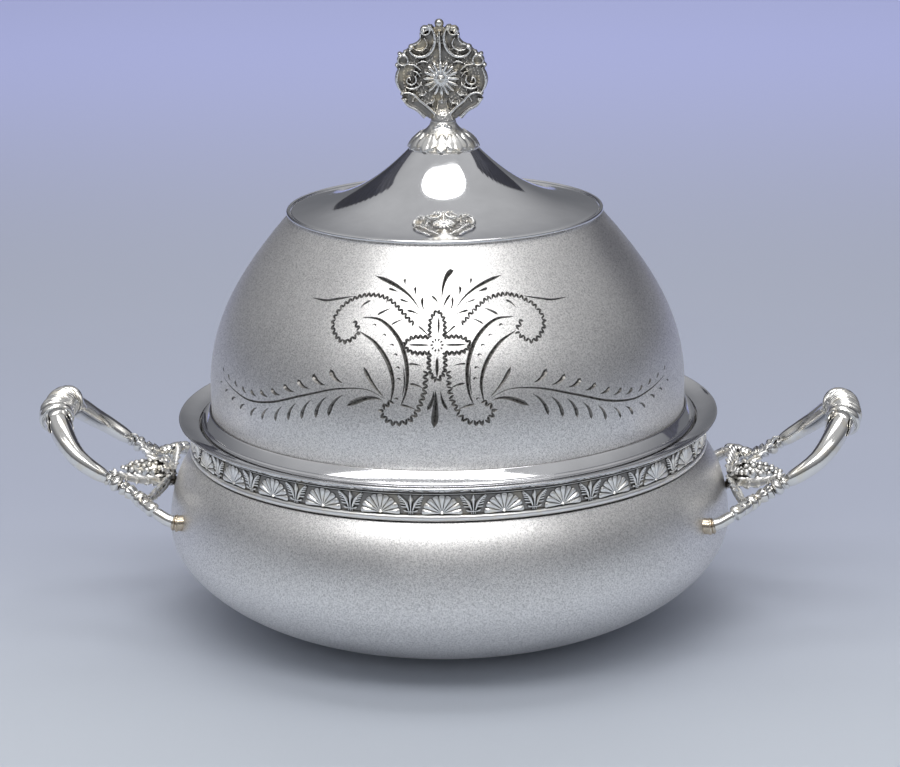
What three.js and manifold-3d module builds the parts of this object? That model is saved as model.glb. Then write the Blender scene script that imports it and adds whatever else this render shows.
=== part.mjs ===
// Covered butter dish in silver plate, in millimetres, +Z up, standing on z = 0.
// A bellied bowl holds ice under a pierced drainer, a domed cover drops into a stepped seat
// inside the neck, a die-rolled border of shells and lilies wraps the neck under a flared rim,
// and two upswept cast handles are soldered to the bowl. The front of the dish faces -Y.
import * as THREE from 'three';
import { mergeVertices } from 'three/addons/utils/BufferGeometryUtils.js';
import Module from 'manifold-3d';

const wasm = await Module();
wasm.setup();

// Clearances and facets
const FIT = 0.3;               // gap between pieces that are soldered or screwed together
const SLIP = 0.4;              // side clearance of what lifts out
const TURNS = 32;              // facets round a spun piece

// Cover: dome, base moulding, cap
const DOME_RADIUS = 78.1;
const DOME_WALL = 1.2;
const DOME_SPRING_HEIGHT = 80;
const DOME_EDGE_RADIUS = 50.3;
const DOME_EDGE_HEIGHT = 137.2;
const DOME_LIP_WIDTH = 3.8;
const BEZEL_DEPTH = 3.8;       // how far the foot of the dome drops below its seat
const MOULDING_WIDTH = 3.2;
const MOULDING_HEIGHT = 7.2;
const CAP_WALL = 1.2;
const CAP_EDGE_HEIGHT = 0.5;
const CAP_TOP_RADIUS = 10.5;
const CAP_TOP_HEIGHT = 158.6;
const CROWN_RISE = 1.3;        // the flat crown under the finial, above the end of the cone
const CROWN_RADIUS = 7.5;
const BEAD_RADIUS = 0.65;

// Seat for the cover and ledge for the drainer, one stepped spinning inside the neck
const SEAT_HEIGHT = 66.5;
const SEAT_WALL = 1.2;
const BEZEL_CLEARANCE = 0.8;
const DRAINER_DEPTH = 7;       // ledge of the drainer below the seat of the cover
const LEDGE_WIDTH = 3.5;

// Pierced drainer
const DRAINER_THICKNESS = 1.2;
const DRAINER_SIDE_GAP = 8.4;  // to the inside of the dome, so that it lifts freely under it
const FINGER_HOLE_RADIUS = 9;
const SLOT_WIDTH = 3.2;
const SLOT_WEB = 9;            // solid metal round the finger hole and inside the edge
const SLOT_RING_GAP = 4.5;
const SLOT_RING_SHARE = 0.485; // where the two rings of slots part, between the hole and the edge

// Bowl, foot and rim
const BOWL_WALL = 1.4;
const FOOT_RADIUS = 47;
const FOOT_WIDTH = 4.5;
const FOOT_HEIGHT = 2.1;
const BELLY_RADIUS = 92.9;
const BELLY_HEIGHT = 34;
const SHOULDER_HEIGHT = 58.2;
const SHOULDER_LEDGE = 1.5;    // shelf of the shoulder that the border stands on
const RIM_OVERHANG = 4.2;
const RIM_RISE = 2.5;
const RIM_WALL = 0.7;

// Border of alternating shells and lilies
const BORDER_HEIGHT = 9;
const BORDER_WALL = 1.1;
const BORDER_RELIEF = 0.85;
const BORDER_BEAD_HEIGHT = 2.2;
const MOTIF_PAIRS = 28;
const MOTIF_START = -87.5;     // degrees: the front shell stands a little right of centre
const SHELL_WIDTH = 12;
const SHELL_HEIGHT = 6;
const SHELL_FLUTES = 5;
const LILY_WIDTH = 6.4;
const LILY_HEIGHT = 6.2;

// Handles
const HANDLE_SPREAD = 36.5;    // from the middle plane to each solder joint
const HANDLE_MOUNT_HEIGHT = 41.7;
const HANDLE_REACH = 46.2;     // from the bowl to the centre line of the crown
const HANDLE_RISE = 27.5;
const ARM_ROOT_RADIUS = 2.5;
const ARM_THIN_RADIUS = 2.0;
const ARM_TOP_RADIUS = 3.75;
const ARM_SIDES = 8;
const ARM_THIN_AT = 36;        // along the arm from the bowl, where it is thinnest
const ARM_TAPER_LENGTH = 24;   // from there to its full thickness
const ARM_RINGS = [
  { at: 13, width: 1.2, height: 0.5 },
  { at: 21.5, width: 1.6, height: 0.6 },
  { at: 25.5, width: 1.1, height: 0.6 },
  { at: 29, width: 1.9, height: 0.8 },
  { at: 33.7, width: 1.9, height: 0.8 },
];
const SLEEVE_LENGTH = 21;
const SLEEVE_STEPS = 6;        // the arms end one step short of the middle of the sleeve
const SLEEVE_RADIUS = 5.3;
const SLEEVE_FLARE = 0.5;
const REED_COUNT = 8;
const REED_DEPTH = 0.55;
const COLLAR_RADIUS = 4;
const COLLAR_HEIGHT = 2.2;
const COLLAR_REACH = 8;        // along the arm, far enough to pass the surface of the bowl

// Leaf bracket and berry cluster between the arms of a handle
const BRACKET_HEIGHT = 48;     // of the berries above the table
const BRACKET_ROOT_HEIGHT = 44; // where its stem meets the bowl
const BRACKET_LENGTH = 5.5;
const STEM_HALF_WIDTH = 2.4;
const STEM_HALF_HEIGHT = 3;
const WING_HALF_HEIGHT = 2.9;
const WING_HALF_THICKNESS = 1.2;
const WING_LOBES = 4;
const WING_END_AT = 17;        // along the arm from the bowl
const CLUSTER_LENGTH = 15;
const CLUSTER_HALF_WIDTH = 3.5;
const CLUSTER_HALF_HEIGHT = 2.7;
const BERRY_RADIUS = 1.8;
const BERRY_ROWS = [4, 4, 3, 1];

// Finial, held by a stud and nut through the crown of the cap
const FINIAL_HEIGHT = 33.1;     // of the cartouche above the neck
const FINIAL_WIDTH = 30.2;
const FINIAL_THICKNESS = 4.2;
const FINIAL_NECK_RISE = 8;      // of the neck above the end of the cone of the cap
const FINIAL_NECK_RADIUS = 4.3;
const FINIAL_SHOULDER = 2;       // the scrolls start this far above the neck
const FINIAL_TAPER = 10;         // the round neck runs out into the plate over this height
const TOP_BALL_RADIUS = 1.8;
const BOSS_RADIUS = 1.9;
const ROSETTE_SHARE = 0.42;      // height of the rosette, as a share of the cartouche
const PETAL_NOTCH = 0.82;
const ROSETTE_RADIUS = 6.2;
const ROSETTE_PETALS = 16;
const ROSETTE_RELIEF = 0.8;
const FOOT_LOBES = 8;
const FOOT_LOBE_DEPTH = 0.9;
const FOOT_FLARE_RADIUS = 12.9;
const FOOT_DROP = 1.4;         // how far the leaf tips hang below the top of the cone
const STUD_RADIUS = 2;
const STUD_SOCKET = 6;         // length of stud inside the neck of the finial
const WASHER_RADIUS = 5.2;
const WASHER_THICKNESS = 1;
const NUT_RADIUS = 4.2;
const NUT_HEIGHT = 3;

// Sizes that follow
const UP = new THREE.Vector3(0, 0, 1);
const domeInside = DOME_RADIUS - DOME_WALL;
const mouldingInside = DOME_RADIUS + FIT;
const mouldingRadius = mouldingInside + MOULDING_WIDTH;
const mouldingBottom = SEAT_HEIGHT + FIT;
const collarInside = mouldingRadius + SLIP;
const collarRadius = collarInside + BOWL_WALL;
const borderInside = collarRadius + FIT;
const borderRadius = borderInside + BORDER_WALL;
const borderBottom = SHOULDER_HEIGHT + FIT;
const borderTop = borderBottom + BORDER_HEIGHT;
const shoulderRadius = collarRadius + SHOULDER_LEDGE;
const drainerRadius = domeInside - DRAINER_SIDE_GAP;
const ledgeHeight = SEAT_HEIGHT - DRAINER_DEPTH;
const bezelBottom = SEAT_HEIGHT - BEZEL_DEPTH;
const bowlBottom = FOOT_HEIGHT + FIT;
const rimRadius = borderRadius + RIM_OVERHANG;
const capEdgeRadius = DOME_EDGE_RADIUS - FIT;
const capBottom = DOME_EDGE_HEIGHT + FIT;
const crownHeight = CAP_TOP_HEIGHT + CROWN_RISE;
const neckHeight = CAP_TOP_HEIGHT + FINIAL_NECK_RISE;
const rosetteHeight = ROSETTE_SHARE * FINIAL_HEIGHT;
const slotMiddle = (FINGER_HOLE_RADIUS + drainerRadius) * SLOT_RING_SHARE;
const slotRings = [
  { inner: FINGER_HOLE_RADIUS + SLOT_WEB, outer: slotMiddle - SLOT_RING_GAP / 2, count: 8 },
  { inner: slotMiddle + SLOT_RING_GAP / 2, outer: drainerRadius - SLOT_WEB, count: 16 },
];

// Materials
const finish = (color, roughness) => new THREE.MeshStandardMaterial({ color, roughness, metalness: 1 });
const SATIN = finish(0xb9bbc0, 0.42);
const POLISHED = finish(0xdadbe0, 0.08);
const CAST = finish(0xc4c1bb, 0.22);
const OXIDISED = finish(0x9a9a9b, 0.4);
const SOLDER = finish(0xb59a62, 0.3);

// Geometry to solid and back

function dropFlatFaces(geometry) {
  const kept = [];
  const index = geometry.index.array;
  for (let i = 0; i < index.length; i += 3) {
    const [a, b, c] = [index[i], index[i + 1], index[i + 2]];
    if (a !== b && b !== c && c !== a) kept.push(a, b, c);
  }
  return new Uint32Array(kept);
}

function toSolid(geometry) {
  const bare = new THREE.BufferGeometry();
  bare.setAttribute('position', geometry.getAttribute('position').clone());
  if (geometry.index) bare.setIndex(geometry.index.clone());
  const merged = mergeVertices(bare, 1e-4);
  const vertProperties = new Float32Array(merged.getAttribute('position').array);
  const solid = (triVerts) => new wasm.Manifold(new wasm.Mesh({ numProp: 3, vertProperties, triVerts }));
  const faces = dropFlatFaces(merged);
  const made = solid(faces);
  return made.volume() > 0 ? made : solid(faces.toReversed());
}

function toGeometry(solid) {
  const { vertProperties, triVerts } = solid.getMesh();
  const geometry = new THREE.BufferGeometry();
  geometry.setAttribute('position', new THREE.BufferAttribute(vertProperties, 3));
  geometry.setIndex(new THREE.BufferAttribute(triVerts, 1));
  return geometry;
}

function piece(name, solid, material) {
  const mesh = new THREE.Mesh(toGeometry(solid), material);
  mesh.name = name;
  return mesh;
}

// Profiles are lists of [radius, height]

function revolve(profile, turns = TURNS) {
  const points = profile.map(([radius, height]) => new THREE.Vector2(radius, height));
  points.push(points[0].clone());
  return toSolid(new THREE.LatheGeometry(points, turns).rotateX(Math.PI / 2));
}

function bend(start, startHandle, endHandle, end, steps) {
  const corners = [start, startHandle, endHandle, end].map(([x, y]) => new THREE.Vector2(x, y));
  return new THREE.CubicBezierCurve(...corners).getPoints(steps).map(({ x, y }) => [x, y]);
}

// Moves an upward-running profile towards the axis by a wall thickness, or out by a negative one
function inset(profile, wall) {
  return profile.map(([radius, height], i) => {
    const before = profile[Math.max(i - 1, 0)];
    const after = profile[Math.min(i + 1, profile.length - 1)];
    const run = new THREE.Vector2(after[0] - before[0], after[1] - before[1]).normalize();
    return [radius - run.y * wall, height + run.x * wall];
  });
}

const mix = THREE.MathUtils.lerp;

// Evenly spaced places from one length along a curve to another
function evenly(from, to, steps) {
  return Array.from({ length: steps + 1 }, (_, i) => mix(from, to, i / steps));
}

// Sweeps a section through places along a curve, in mm from its start, with closed ends
function loft(curve, places, sectionAt) {
  const whole = curve.getLength();
  const steps = places.length - 1;
  const corners = [];
  const faces = [];
  let sides = 0;
  for (const along of places) {
    const centre = curve.getPointAt(along / whole);
    const tangent = curve.getTangentAt(along / whole);
    const across = new THREE.Vector3().crossVectors(tangent, UP).normalize();
    const over = new THREE.Vector3().crossVectors(across, tangent);
    const section = sectionAt(along, (along - places[0]) / (places[steps] - places[0]));
    sides = section.length;
    for (const [u, v] of section) {
      corners.push(...centre.clone().addScaledVector(across, u).addScaledVector(over, v));
    }
  }
  for (let i = 0; i < steps; i += 1) {
    for (let j = 0; j < sides; j += 1) {
      const next = (j + 1) % sides;
      const [a, b] = [i * sides + j, i * sides + next];
      const [c, d] = [a + sides, b + sides];
      faces.push(a, c, b, b, c, d);
    }
  }
  const last = steps * sides;
  for (let j = 1; j < sides - 1; j += 1) {
    faces.push(0, j, j + 1);
    faces.push(last, last + j + 1, last + j);
  }
  const geometry = new THREE.BufferGeometry();
  geometry.setAttribute('position', new THREE.Float32BufferAttribute(corners, 3));
  geometry.setIndex(faces);
  return toSolid(geometry);
}

function oval(halfWidth, halfHeight, sides) {
  const section = [];
  for (let i = 0; i < sides; i += 1) {
    const angle = (i + 0.5) * 2 * Math.PI / sides;
    section.push([halfWidth * Math.cos(angle), halfHeight * Math.sin(angle)]);
  }
  return section;
}

// Bowl

function lowerBowlCurve(steps) {
  const bulge = [BELLY_RADIUS, mix(bowlBottom, BELLY_HEIGHT, 0.557)];
  const sweep = [mix(FOOT_RADIUS, BELLY_RADIUS, 0.5), bowlBottom + 1.1];
  return bend([FOOT_RADIUS, bowlBottom], sweep, bulge, [BELLY_RADIUS, BELLY_HEIGHT], steps);
}

function upperBowlCurve(steps) {
  const bulge = [BELLY_RADIUS, mix(BELLY_HEIGHT, SHOULDER_HEIGHT, 0.37)];
  const tuck = [mix(shoulderRadius, BELLY_RADIUS, 0.7), mix(BELLY_HEIGHT, SHOULDER_HEIGHT, 0.744)];
  return bend([BELLY_RADIUS, BELLY_HEIGHT], bulge, tuck, [shoulderRadius, SHOULDER_HEIGHT], steps);
}

function bowlOutside(lowerSteps = 5, upperSteps = 4) {
  return [...lowerBowlCurve(lowerSteps), ...upperBowlCurve(upperSteps).slice(1)];
}

function bowlRadiusAt(height) {
  const outside = bowlOutside();
  const above = outside.findIndex(([, z]) => z >= height);
  const [low, high] = [outside[above - 1], outside[above]];
  return mix(low[0], high[0], (height - low[1]) / (high[1] - low[1]));
}

// The bowl grown by a distance, to trim what is soldered on its outside
function bowlEnvelope(distance) {
  const grown = inset(bowlOutside(), -distance);
  return revolve([[0, bowlBottom], ...grown, [0, SHOULDER_HEIGHT]]);
}

function makeBowl() {
  const collarTop = borderTop - FIT;
  const outside = [...bowlOutside(), [collarRadius, SHOULDER_HEIGHT], [collarRadius, collarTop]];
  const inside = inset(bowlOutside(4, 3), BOWL_WALL).slice(1, -1).reverse();
  const neck = [[collarInside, collarTop], [collarInside, SHOULDER_HEIGHT + BOWL_WALL / 2]];
  const floor = bowlBottom + BOWL_WALL;
  return revolve([[0, bowlBottom], ...outside, ...neck, ...inside, [FOOT_RADIUS - BOWL_WALL, floor], [0, floor]]);
}

function makeFootRing() {
  const inner = FOOT_RADIUS - FOOT_WIDTH;
  const chamfer = 0.6;
  return revolve([
    [inner, 0],
    [FOOT_RADIUS - chamfer, 0],
    [FOOT_RADIUS, FOOT_HEIGHT],
    [inner, FOOT_HEIGHT],
  ]);
}

// Flared rim: a thin lip outside, a concave flange falling to the well of the neck
function makeRim() {
  const bottom = borderTop + FIT;
  const lip = bottom + RIM_RISE;
  const root = [collarInside + FIT, bottom];
  const flare = bend([borderRadius, bottom], [borderRadius + 1.6, bottom + 0.2], [rimRadius - 1, lip - 1.2],
    [rimRadius, lip - RIM_WALL / 2], 3);
  const dish = bend([rimRadius - 0.4, lip], [rimRadius - 1.6, lip - 0.7], [borderRadius + 0.4, bottom + RIM_WALL],
    [collarInside + FIT, bottom + RIM_WALL], 3);
  return revolve([root, ...flare, ...dish]);
}

// Stepped spinning inside the neck: the cover seats on its top, the drainer on its ledge
function makeSeatCollar() {
  const topRadius = collarInside - FIT;
  const bezelBore = DOME_RADIUS + BEZEL_CLEARANCE;
  const drainerBore = drainerRadius + SLIP;
  const step = bezelBottom - BEZEL_CLEARANCE;
  const ledgeBore = drainerRadius - LEDGE_WIDTH;
  return revolve([
    [topRadius, SEAT_HEIGHT - SEAT_WALL],
    [topRadius, SEAT_HEIGHT],
    [bezelBore, SEAT_HEIGHT],
    [bezelBore, step],
    [drainerBore, step],
    [drainerBore, ledgeHeight],
    [ledgeBore, ledgeHeight],
    [ledgeBore, ledgeHeight - SEAT_WALL],
    [drainerBore + SEAT_WALL, ledgeHeight - SEAT_WALL],
    [drainerBore + SEAT_WALL, step - SEAT_WALL],
    [bezelBore + SEAT_WALL, step - SEAT_WALL],
    [bezelBore + SEAT_WALL, SEAT_HEIGHT - SEAT_WALL],
  ]);
}

// Border

function outlineShape(points) {
  return new THREE.Shape(points.map(([x, y]) => new THREE.Vector2(x, y)));
}

// Fan of flutes standing on a straight base
function shellOutline() {
  const points = [[SHELL_WIDTH / 2, 0]];
  for (let i = 0; i < SHELL_FLUTES; i += 1) {
    const crown = Math.PI * (i + 0.5) / SHELL_FLUTES;
    points.push([SHELL_WIDTH / 2 * Math.cos(crown), SHELL_HEIGHT * Math.sin(crown)]);
    const valley = Math.PI * (i + 1) / SHELL_FLUTES;
    const reach = i < SHELL_FLUTES - 1 ? 0.86 : 1;
    points.push([reach * SHELL_WIDTH / 2 * Math.cos(valley), reach * SHELL_HEIGHT * Math.sin(valley)]);
  }
  return points;
}

// Central spear between two leaves that curve out, on a tied base
function lilyOutline() {
  const half = LILY_WIDTH / 2;
  const right = [
    [0.6 * half, 0],
    [half, 0.97 * LILY_HEIGHT],
    [0.28 * half, 0.42 * LILY_HEIGHT],
  ];
  const left = right.map(([x, y]) => [-x, y]).reverse();
  return [...right, [0, LILY_HEIGHT], ...left];
}

// Turning angle of each shell's middle
function shellAngle(pair) {
  return THREE.MathUtils.degToRad(MOTIF_START + pair * 360 / MOTIF_PAIRS);
}

// Stands a flat relief, drawn in x and y, on the face of the border at an angle
function placeOnBorder(outline, width, angle) {
  const face = Math.sqrt(borderRadius ** 2 - (width / 2 + FIT) ** 2);
  const sunk = BORDER_WALL / 2;
  const depth = sunk + BORDER_RELIEF;
  const relief = new THREE.ExtrudeGeometry(outlineShape(outline), { depth, bevelEnabled: false, steps: 1 });
  relief.rotateX(Math.PI / 2).rotateZ(Math.PI);
  relief.translate(0, face - sunk, borderBottom + BORDER_BEAD_HEIGHT + FIT);
  return toSolid(relief.rotateZ(angle - Math.PI / 2));
}

// The band between two heights, with its corners in the gaps between the motifs
function bandRing(radius, bottom, top) {
  const halfShell = Math.asin((SHELL_WIDTH / 2 + FIT) / borderRadius);
  const corners = (reach) => {
    const points = [];
    for (let i = 0; i < MOTIF_PAIRS; i += 1) {
      for (const angle of [shellAngle(i) - halfShell, shellAngle(i) + halfShell]) {
        points.push(new THREE.Vector2(reach * Math.cos(angle), reach * Math.sin(angle)));
      }
    }
    return points;
  };
  const ring = new THREE.Shape(corners(radius));
  ring.holes.push(new THREE.Path(corners(borderInside)));
  const band = new THREE.ExtrudeGeometry(ring, { depth: top - bottom, bevelEnabled: false, steps: 1 });
  return toSolid(band.translate(0, 0, bottom));
}

function makeBorder() {
  const beadTop = borderBottom + BORDER_BEAD_HEIGHT;
  const halfPitch = Math.PI / MOTIF_PAIRS - Math.asin((SHELL_WIDTH / 2 + FIT) / borderRadius);
  const lilyFaceWidth = 2 * (borderRadius * Math.sin(halfPitch) - FIT);
  const bead = bandRing(borderRadius + BORDER_RELIEF, borderBottom, beadTop);
  let border = bandRing(borderRadius, borderBottom, borderTop).add(bead);
  for (let i = 0; i < MOTIF_PAIRS; i += 1) {
    border = border.add(placeOnBorder(shellOutline(), SHELL_WIDTH, shellAngle(i)));
    border = border.add(placeOnBorder(lilyOutline(), lilyFaceWidth, shellAngle(i + 0.5)));
  }
  return border;
}

// Cover

function domeOutside(steps) {
  const height = DOME_EDGE_HEIGHT - DOME_SPRING_HEIGHT;
  const rise = [DOME_RADIUS, DOME_SPRING_HEIGHT + 0.383 * height];
  const close = [mix(DOME_EDGE_RADIUS, DOME_RADIUS, 0.6), DOME_EDGE_HEIGHT - 0.33 * height];
  return bend([DOME_RADIUS, DOME_SPRING_HEIGHT], rise, close, [DOME_EDGE_RADIUS, DOME_EDGE_HEIGHT], steps);
}

function makeDome() {
  const lipInside = DOME_EDGE_RADIUS - DOME_LIP_WIDTH;
  const inside = inset(domeOutside(4), DOME_WALL).slice(0, -1).reverse();
  return revolve([
    [DOME_RADIUS, bezelBottom],
    ...domeOutside(7),
    [lipInside, DOME_EDGE_HEIGHT],
    [lipInside, DOME_EDGE_HEIGHT - DOME_WALL],
    ...inside,
    [domeInside, bezelBottom],
  ]);
}

function makeMoulding() {
  const top = mouldingBottom + MOULDING_HEIGHT;
  return revolve([
    [mouldingInside, mouldingBottom],
    [mouldingRadius, mouldingBottom],
    [mouldingRadius, mix(mouldingBottom, top, 0.38)],
    [mix(mouldingInside, mouldingRadius, 0.72), mix(mouldingBottom, top, 0.5)],
    [mix(mouldingInside, mouldingRadius, 0.42), mix(mouldingBottom, top, 0.72)],
    [mix(mouldingInside, mouldingRadius, 0.24), top],
    [mouldingInside, top],
  ]);
}

function capOutside(steps) {
  const start = [capEdgeRadius, capBottom + CAP_EDGE_HEIGHT];
  const end = [CAP_TOP_RADIUS, CAP_TOP_HEIGHT];
  const shallow = [mix(end[0], start[0], 0.57), mix(start[1], end[1], 0.1)];
  const steep = [mix(end[0], start[0], 0.29), mix(start[1], end[1], 0.42)];
  return [...bend(start, shallow, steep, end, steps), [CROWN_RADIUS, crownHeight]];
}

function makeCap() {
  const bore = STUD_RADIUS + FIT;
  const inside = inset(capOutside(3), CAP_WALL).slice(1, -1).reverse();
  return revolve([
    [capEdgeRadius - DOME_LIP_WIDTH, capBottom],
    [capEdgeRadius, capBottom],
    ...capOutside(5),
    [bore, crownHeight],
    [bore, crownHeight - CAP_WALL],
    [CROWN_RADIUS - CAP_WALL, crownHeight - CAP_WALL],
    ...inside,
  ]);
}

// Bead wire that covers the joint of dome and cap
function makeCapBead() {
  const centre = [capEdgeRadius + FIT + BEAD_RADIUS, capBottom + BEAD_RADIUS / 2];
  const section = oval(BEAD_RADIUS, BEAD_RADIUS, 4).map(([u, v]) => [centre[0] + u, centre[1] + v]);
  return revolve(section);
}

// Drainer

// Pointed slot along a radius, between two distances from the centre
function slotPath(inner, outer, angle) {
  const half = SLOT_WIDTH / 2;
  const corners = [[inner, 0], [inner + half, half], [outer - half, half], [outer, 0],
    [outer - half, -half], [inner + half, -half]];
  const turned = corners.map(([x, y]) => new THREE.Vector2(x, y).rotateAround(new THREE.Vector2(), angle));
  return new THREE.Path(turned);
}

function circlePath(radius, sides) {
  return evenly(0, 2 * Math.PI, sides).slice(1).map((angle) => (
    new THREE.Vector2(radius * Math.cos(angle), radius * Math.sin(angle))
  ));
}

function makeDrainer() {
  const plate = new THREE.Shape(circlePath(drainerRadius, TURNS));
  plate.holes.push(new THREE.Path(circlePath(FINGER_HOLE_RADIUS, 16)));
  for (const { inner, outer, count } of slotRings) {
    for (let i = 0; i < count; i += 1) plate.holes.push(slotPath(inner, outer, i * 2 * Math.PI / count));
  }
  const geometry = new THREE.ExtrudeGeometry(plate, { depth: DRAINER_THICKNESS, bevelEnabled: false, steps: 1 });
  return toSolid(geometry.translate(0, 0, ledgeHeight + FIT));
}

// Handles. Each is drawn at the right of the dish and turned round for the left.

// Centre line of the arms and the sleeve: out from the bowl, up, across the crown and back
function gripCurve() {
  const root = Math.sqrt(bowlRadiusAt(HANDLE_MOUNT_HEIGHT) ** 2 - HANDLE_SPREAD ** 2);
  const half = [
    [-0.07, 1, 0],
    [0.05, 1, 0],
    [0.209, 0.94, 0.137],
    [0.373, 0.65, 0.199],
    [0.769, 0.585, 0.624],
    [0.966, 0.235, 0.999],
  ];
  const crown = [[1, 0, 1]];
  const far = half.map(([out, side, rise]) => [out, -side, rise]).reverse();
  const points = [...half, ...crown, ...far].map(([out, side, rise]) => new THREE.Vector3(
    root + out * HANDLE_REACH,
    -side * HANDLE_SPREAD,
    HANDLE_MOUNT_HEIGHT + rise * HANDLE_RISE,
  ));
  return new THREE.CatmullRomCurve3(points);
}

// Radius of an arm at a length from the bowl, with its turned rings
function armRadius(along) {
  const thin = along < ARM_THIN_AT
    ? mix(ARM_ROOT_RADIUS, ARM_THIN_RADIUS, along / ARM_THIN_AT)
    : mix(ARM_THIN_RADIUS, ARM_TOP_RADIUS, Math.min((along - ARM_THIN_AT) / ARM_TAPER_LENGTH, 1));
  const swell = ARM_RINGS.map(({ at, width, height }) => {
    const off = Math.abs(along - at) / width;
    return off < 1 ? height * Math.sqrt(1 - off * off) : 0;
  });
  return thin + Math.max(...swell);
}

// Places for the sections of one arm, from the bowl to its end inside the sleeve
function armPlaces(curve) {
  const middle = curve.getLength() / 2;
  const rings = ARM_RINGS.flatMap(({ at, width }) => [at - width, at, at + width]);
  const cuff = middle - SLEEVE_LENGTH / 2;
  const inSleeve = evenly(cuff, middle, SLEEVE_STEPS / 2).slice(0, -1);
  return [0, 4, 8, ...rings, ...evenly(ARM_THIN_AT, cuff, 4).slice(0, -1), ...inSleeve];
}

// One arm, or with something added to its radius the room that it needs
function armLoft(curve, rear, extra) {
  const whole = curve.getLength();
  const places = armPlaces(curve);
  const counted = rear ? places.map((along) => whole - along).reverse() : places;
  return loft(curve, counted, (along) => {
    const radius = armRadius(Math.min(along, whole - along)) + extra;
    return oval(radius, radius, ARM_SIDES);
  });
}

function makeArm(curve, rear) {
  return armLoft(curve, rear, 0).subtract(bowlEnvelope(FIT));
}

// Reeded sleeve over both arm ends, flared at its open cuffs
function makeSleeve(curve) {
  const middle = curve.getLength() / 2;
  const places = evenly(middle - SLEEVE_LENGTH / 2, middle + SLEEVE_LENGTH / 2, SLEEVE_STEPS);
  const reeded = loft(curve, places, (along) => {
    const share = Math.abs(along - middle) / (SLEEVE_LENGTH / 2);
    const radius = SLEEVE_RADIUS + SLEEVE_FLARE * share ** 4;
    return oval(radius, radius, 2 * REED_COUNT).map(([u, v], i) => {
      const scale = i % 2 ? 1 : 1 - REED_DEPTH / radius;
      return [u * scale, v * scale];
    });
  });
  const bore = ARM_TOP_RADIUS + SLIP;
  const through = [places[0] - 1, ...places, places[SLEEVE_STEPS] + 1];
  return reeded.subtract(loft(curve, through, () => oval(bore, bore, ARM_SIDES)));
}

function makeMountCollar(curve, rear) {
  const whole = curve.getLength();
  const reach = COLLAR_REACH + COLLAR_HEIGHT;
  const places = rear ? evenly(whole - reach, whole, 3) : evenly(0, reach, 3);
  const round = loft(curve, places, () => oval(COLLAR_RADIUS, COLLAR_RADIUS, ARM_SIDES));
  const washer = round.intersect(bowlEnvelope(FIT + COLLAR_HEIGHT)).subtract(bowlEnvelope(FIT));
  return washer.subtract(armLoft(curve, rear, FIT));
}

// Leafy bridge from the bowl to both arms
function makeLeafBracket(curve) {
  const root = bowlRadiusAt(BRACKET_HEIGHT);
  const whole = curve.getLength();
  const axis = new THREE.QuadraticBezierCurve3(
    new THREE.Vector3(bowlRadiusAt(BRACKET_ROOT_HEIGHT) - 2, 0, BRACKET_ROOT_HEIGHT),
    new THREE.Vector3(root + BRACKET_LENGTH / 3, 0, BRACKET_HEIGHT),
    new THREE.Vector3(root + BRACKET_LENGTH, 0, BRACKET_HEIGHT),
  );
  let bracket = loft(axis, evenly(0, axis.getLength(), 3), (along, share) => {
    const swell = 1 + 0.25 * Math.sin(share * Math.PI);
    return oval(STEM_HALF_WIDTH * swell, STEM_HALF_HEIGHT * swell, 8);
  });
  for (const rear of [false, true]) {
    const side = rear ? 1 : -1;
    const touch = curve.getPointAt((rear ? whole - WING_END_AT : WING_END_AT) / whole);
    const wing = new THREE.CatmullRomCurve3([
      new THREE.Vector3(root + BRACKET_LENGTH / 2, 0, BRACKET_HEIGHT),
      new THREE.Vector3(mix(root + BRACKET_LENGTH / 2, touch.x, 0.3), side * HANDLE_SPREAD / 3, BRACKET_HEIGHT + 0.5),
      touch,
    ]);
    const leaf = loft(wing, evenly(0, wing.getLength(), 2 * WING_LOBES), (along, share) => {
      const lobe = Math.round(share * 2 * WING_LOBES) % 2 ? 1.1 : 0.85;
      const taper = mix(1, 0.55, share);
      return oval(WING_HALF_THICKNESS, WING_HALF_HEIGHT * lobe * taper, 6);
    });
    bracket = bracket.add(leaf);
  }
  const arms = armLoft(curve, false, FIT).add(armLoft(curve, true, FIT));
  return bracket.subtract(bowlEnvelope(FIT)).subtract(arms);
}

// Tapering cluster of berries that points away from the bowl
function makeBerryCluster() {
  const start = bowlRadiusAt(BRACKET_HEIGHT) + BRACKET_LENGTH + FIT;
  const axis = new THREE.LineCurve3(
    new THREE.Vector3(start, 0, BRACKET_HEIGHT),
    new THREE.Vector3(start + CLUSTER_LENGTH, 0, BRACKET_HEIGHT),
  );
  let cluster = loft(axis, evenly(0, CLUSTER_LENGTH - BERRY_RADIUS, 2), (along, share) => {
    const taper = Math.sqrt(1 - 0.85 * share * share);
    return oval(CLUSTER_HALF_WIDTH * taper, CLUSTER_HALF_HEIGHT * taper, 6);
  });
  BERRY_ROWS.forEach((count, row) => {
    const share = (row + 0.5) / BERRY_ROWS.length;
    const taper = Math.sqrt(1 - 0.85 * share * share);
    for (let i = 0; i < count; i += 1) {
      const angle = (i + row / 2) * 2 * Math.PI / count;
      const berry = new THREE.IcosahedronGeometry(BERRY_RADIUS * mix(1, 0.8, share), 0);
      berry.translate(
        start + BERRY_RADIUS + share * (CLUSTER_LENGTH - BERRY_RADIUS),
        CLUSTER_HALF_WIDTH * taper * Math.cos(angle),
        BRACKET_HEIGHT + CLUSTER_HALF_HEIGHT * taper * Math.sin(angle),
      );
      cluster = cluster.add(toSolid(berry));
    }
  });
  return cluster;
}

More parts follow.
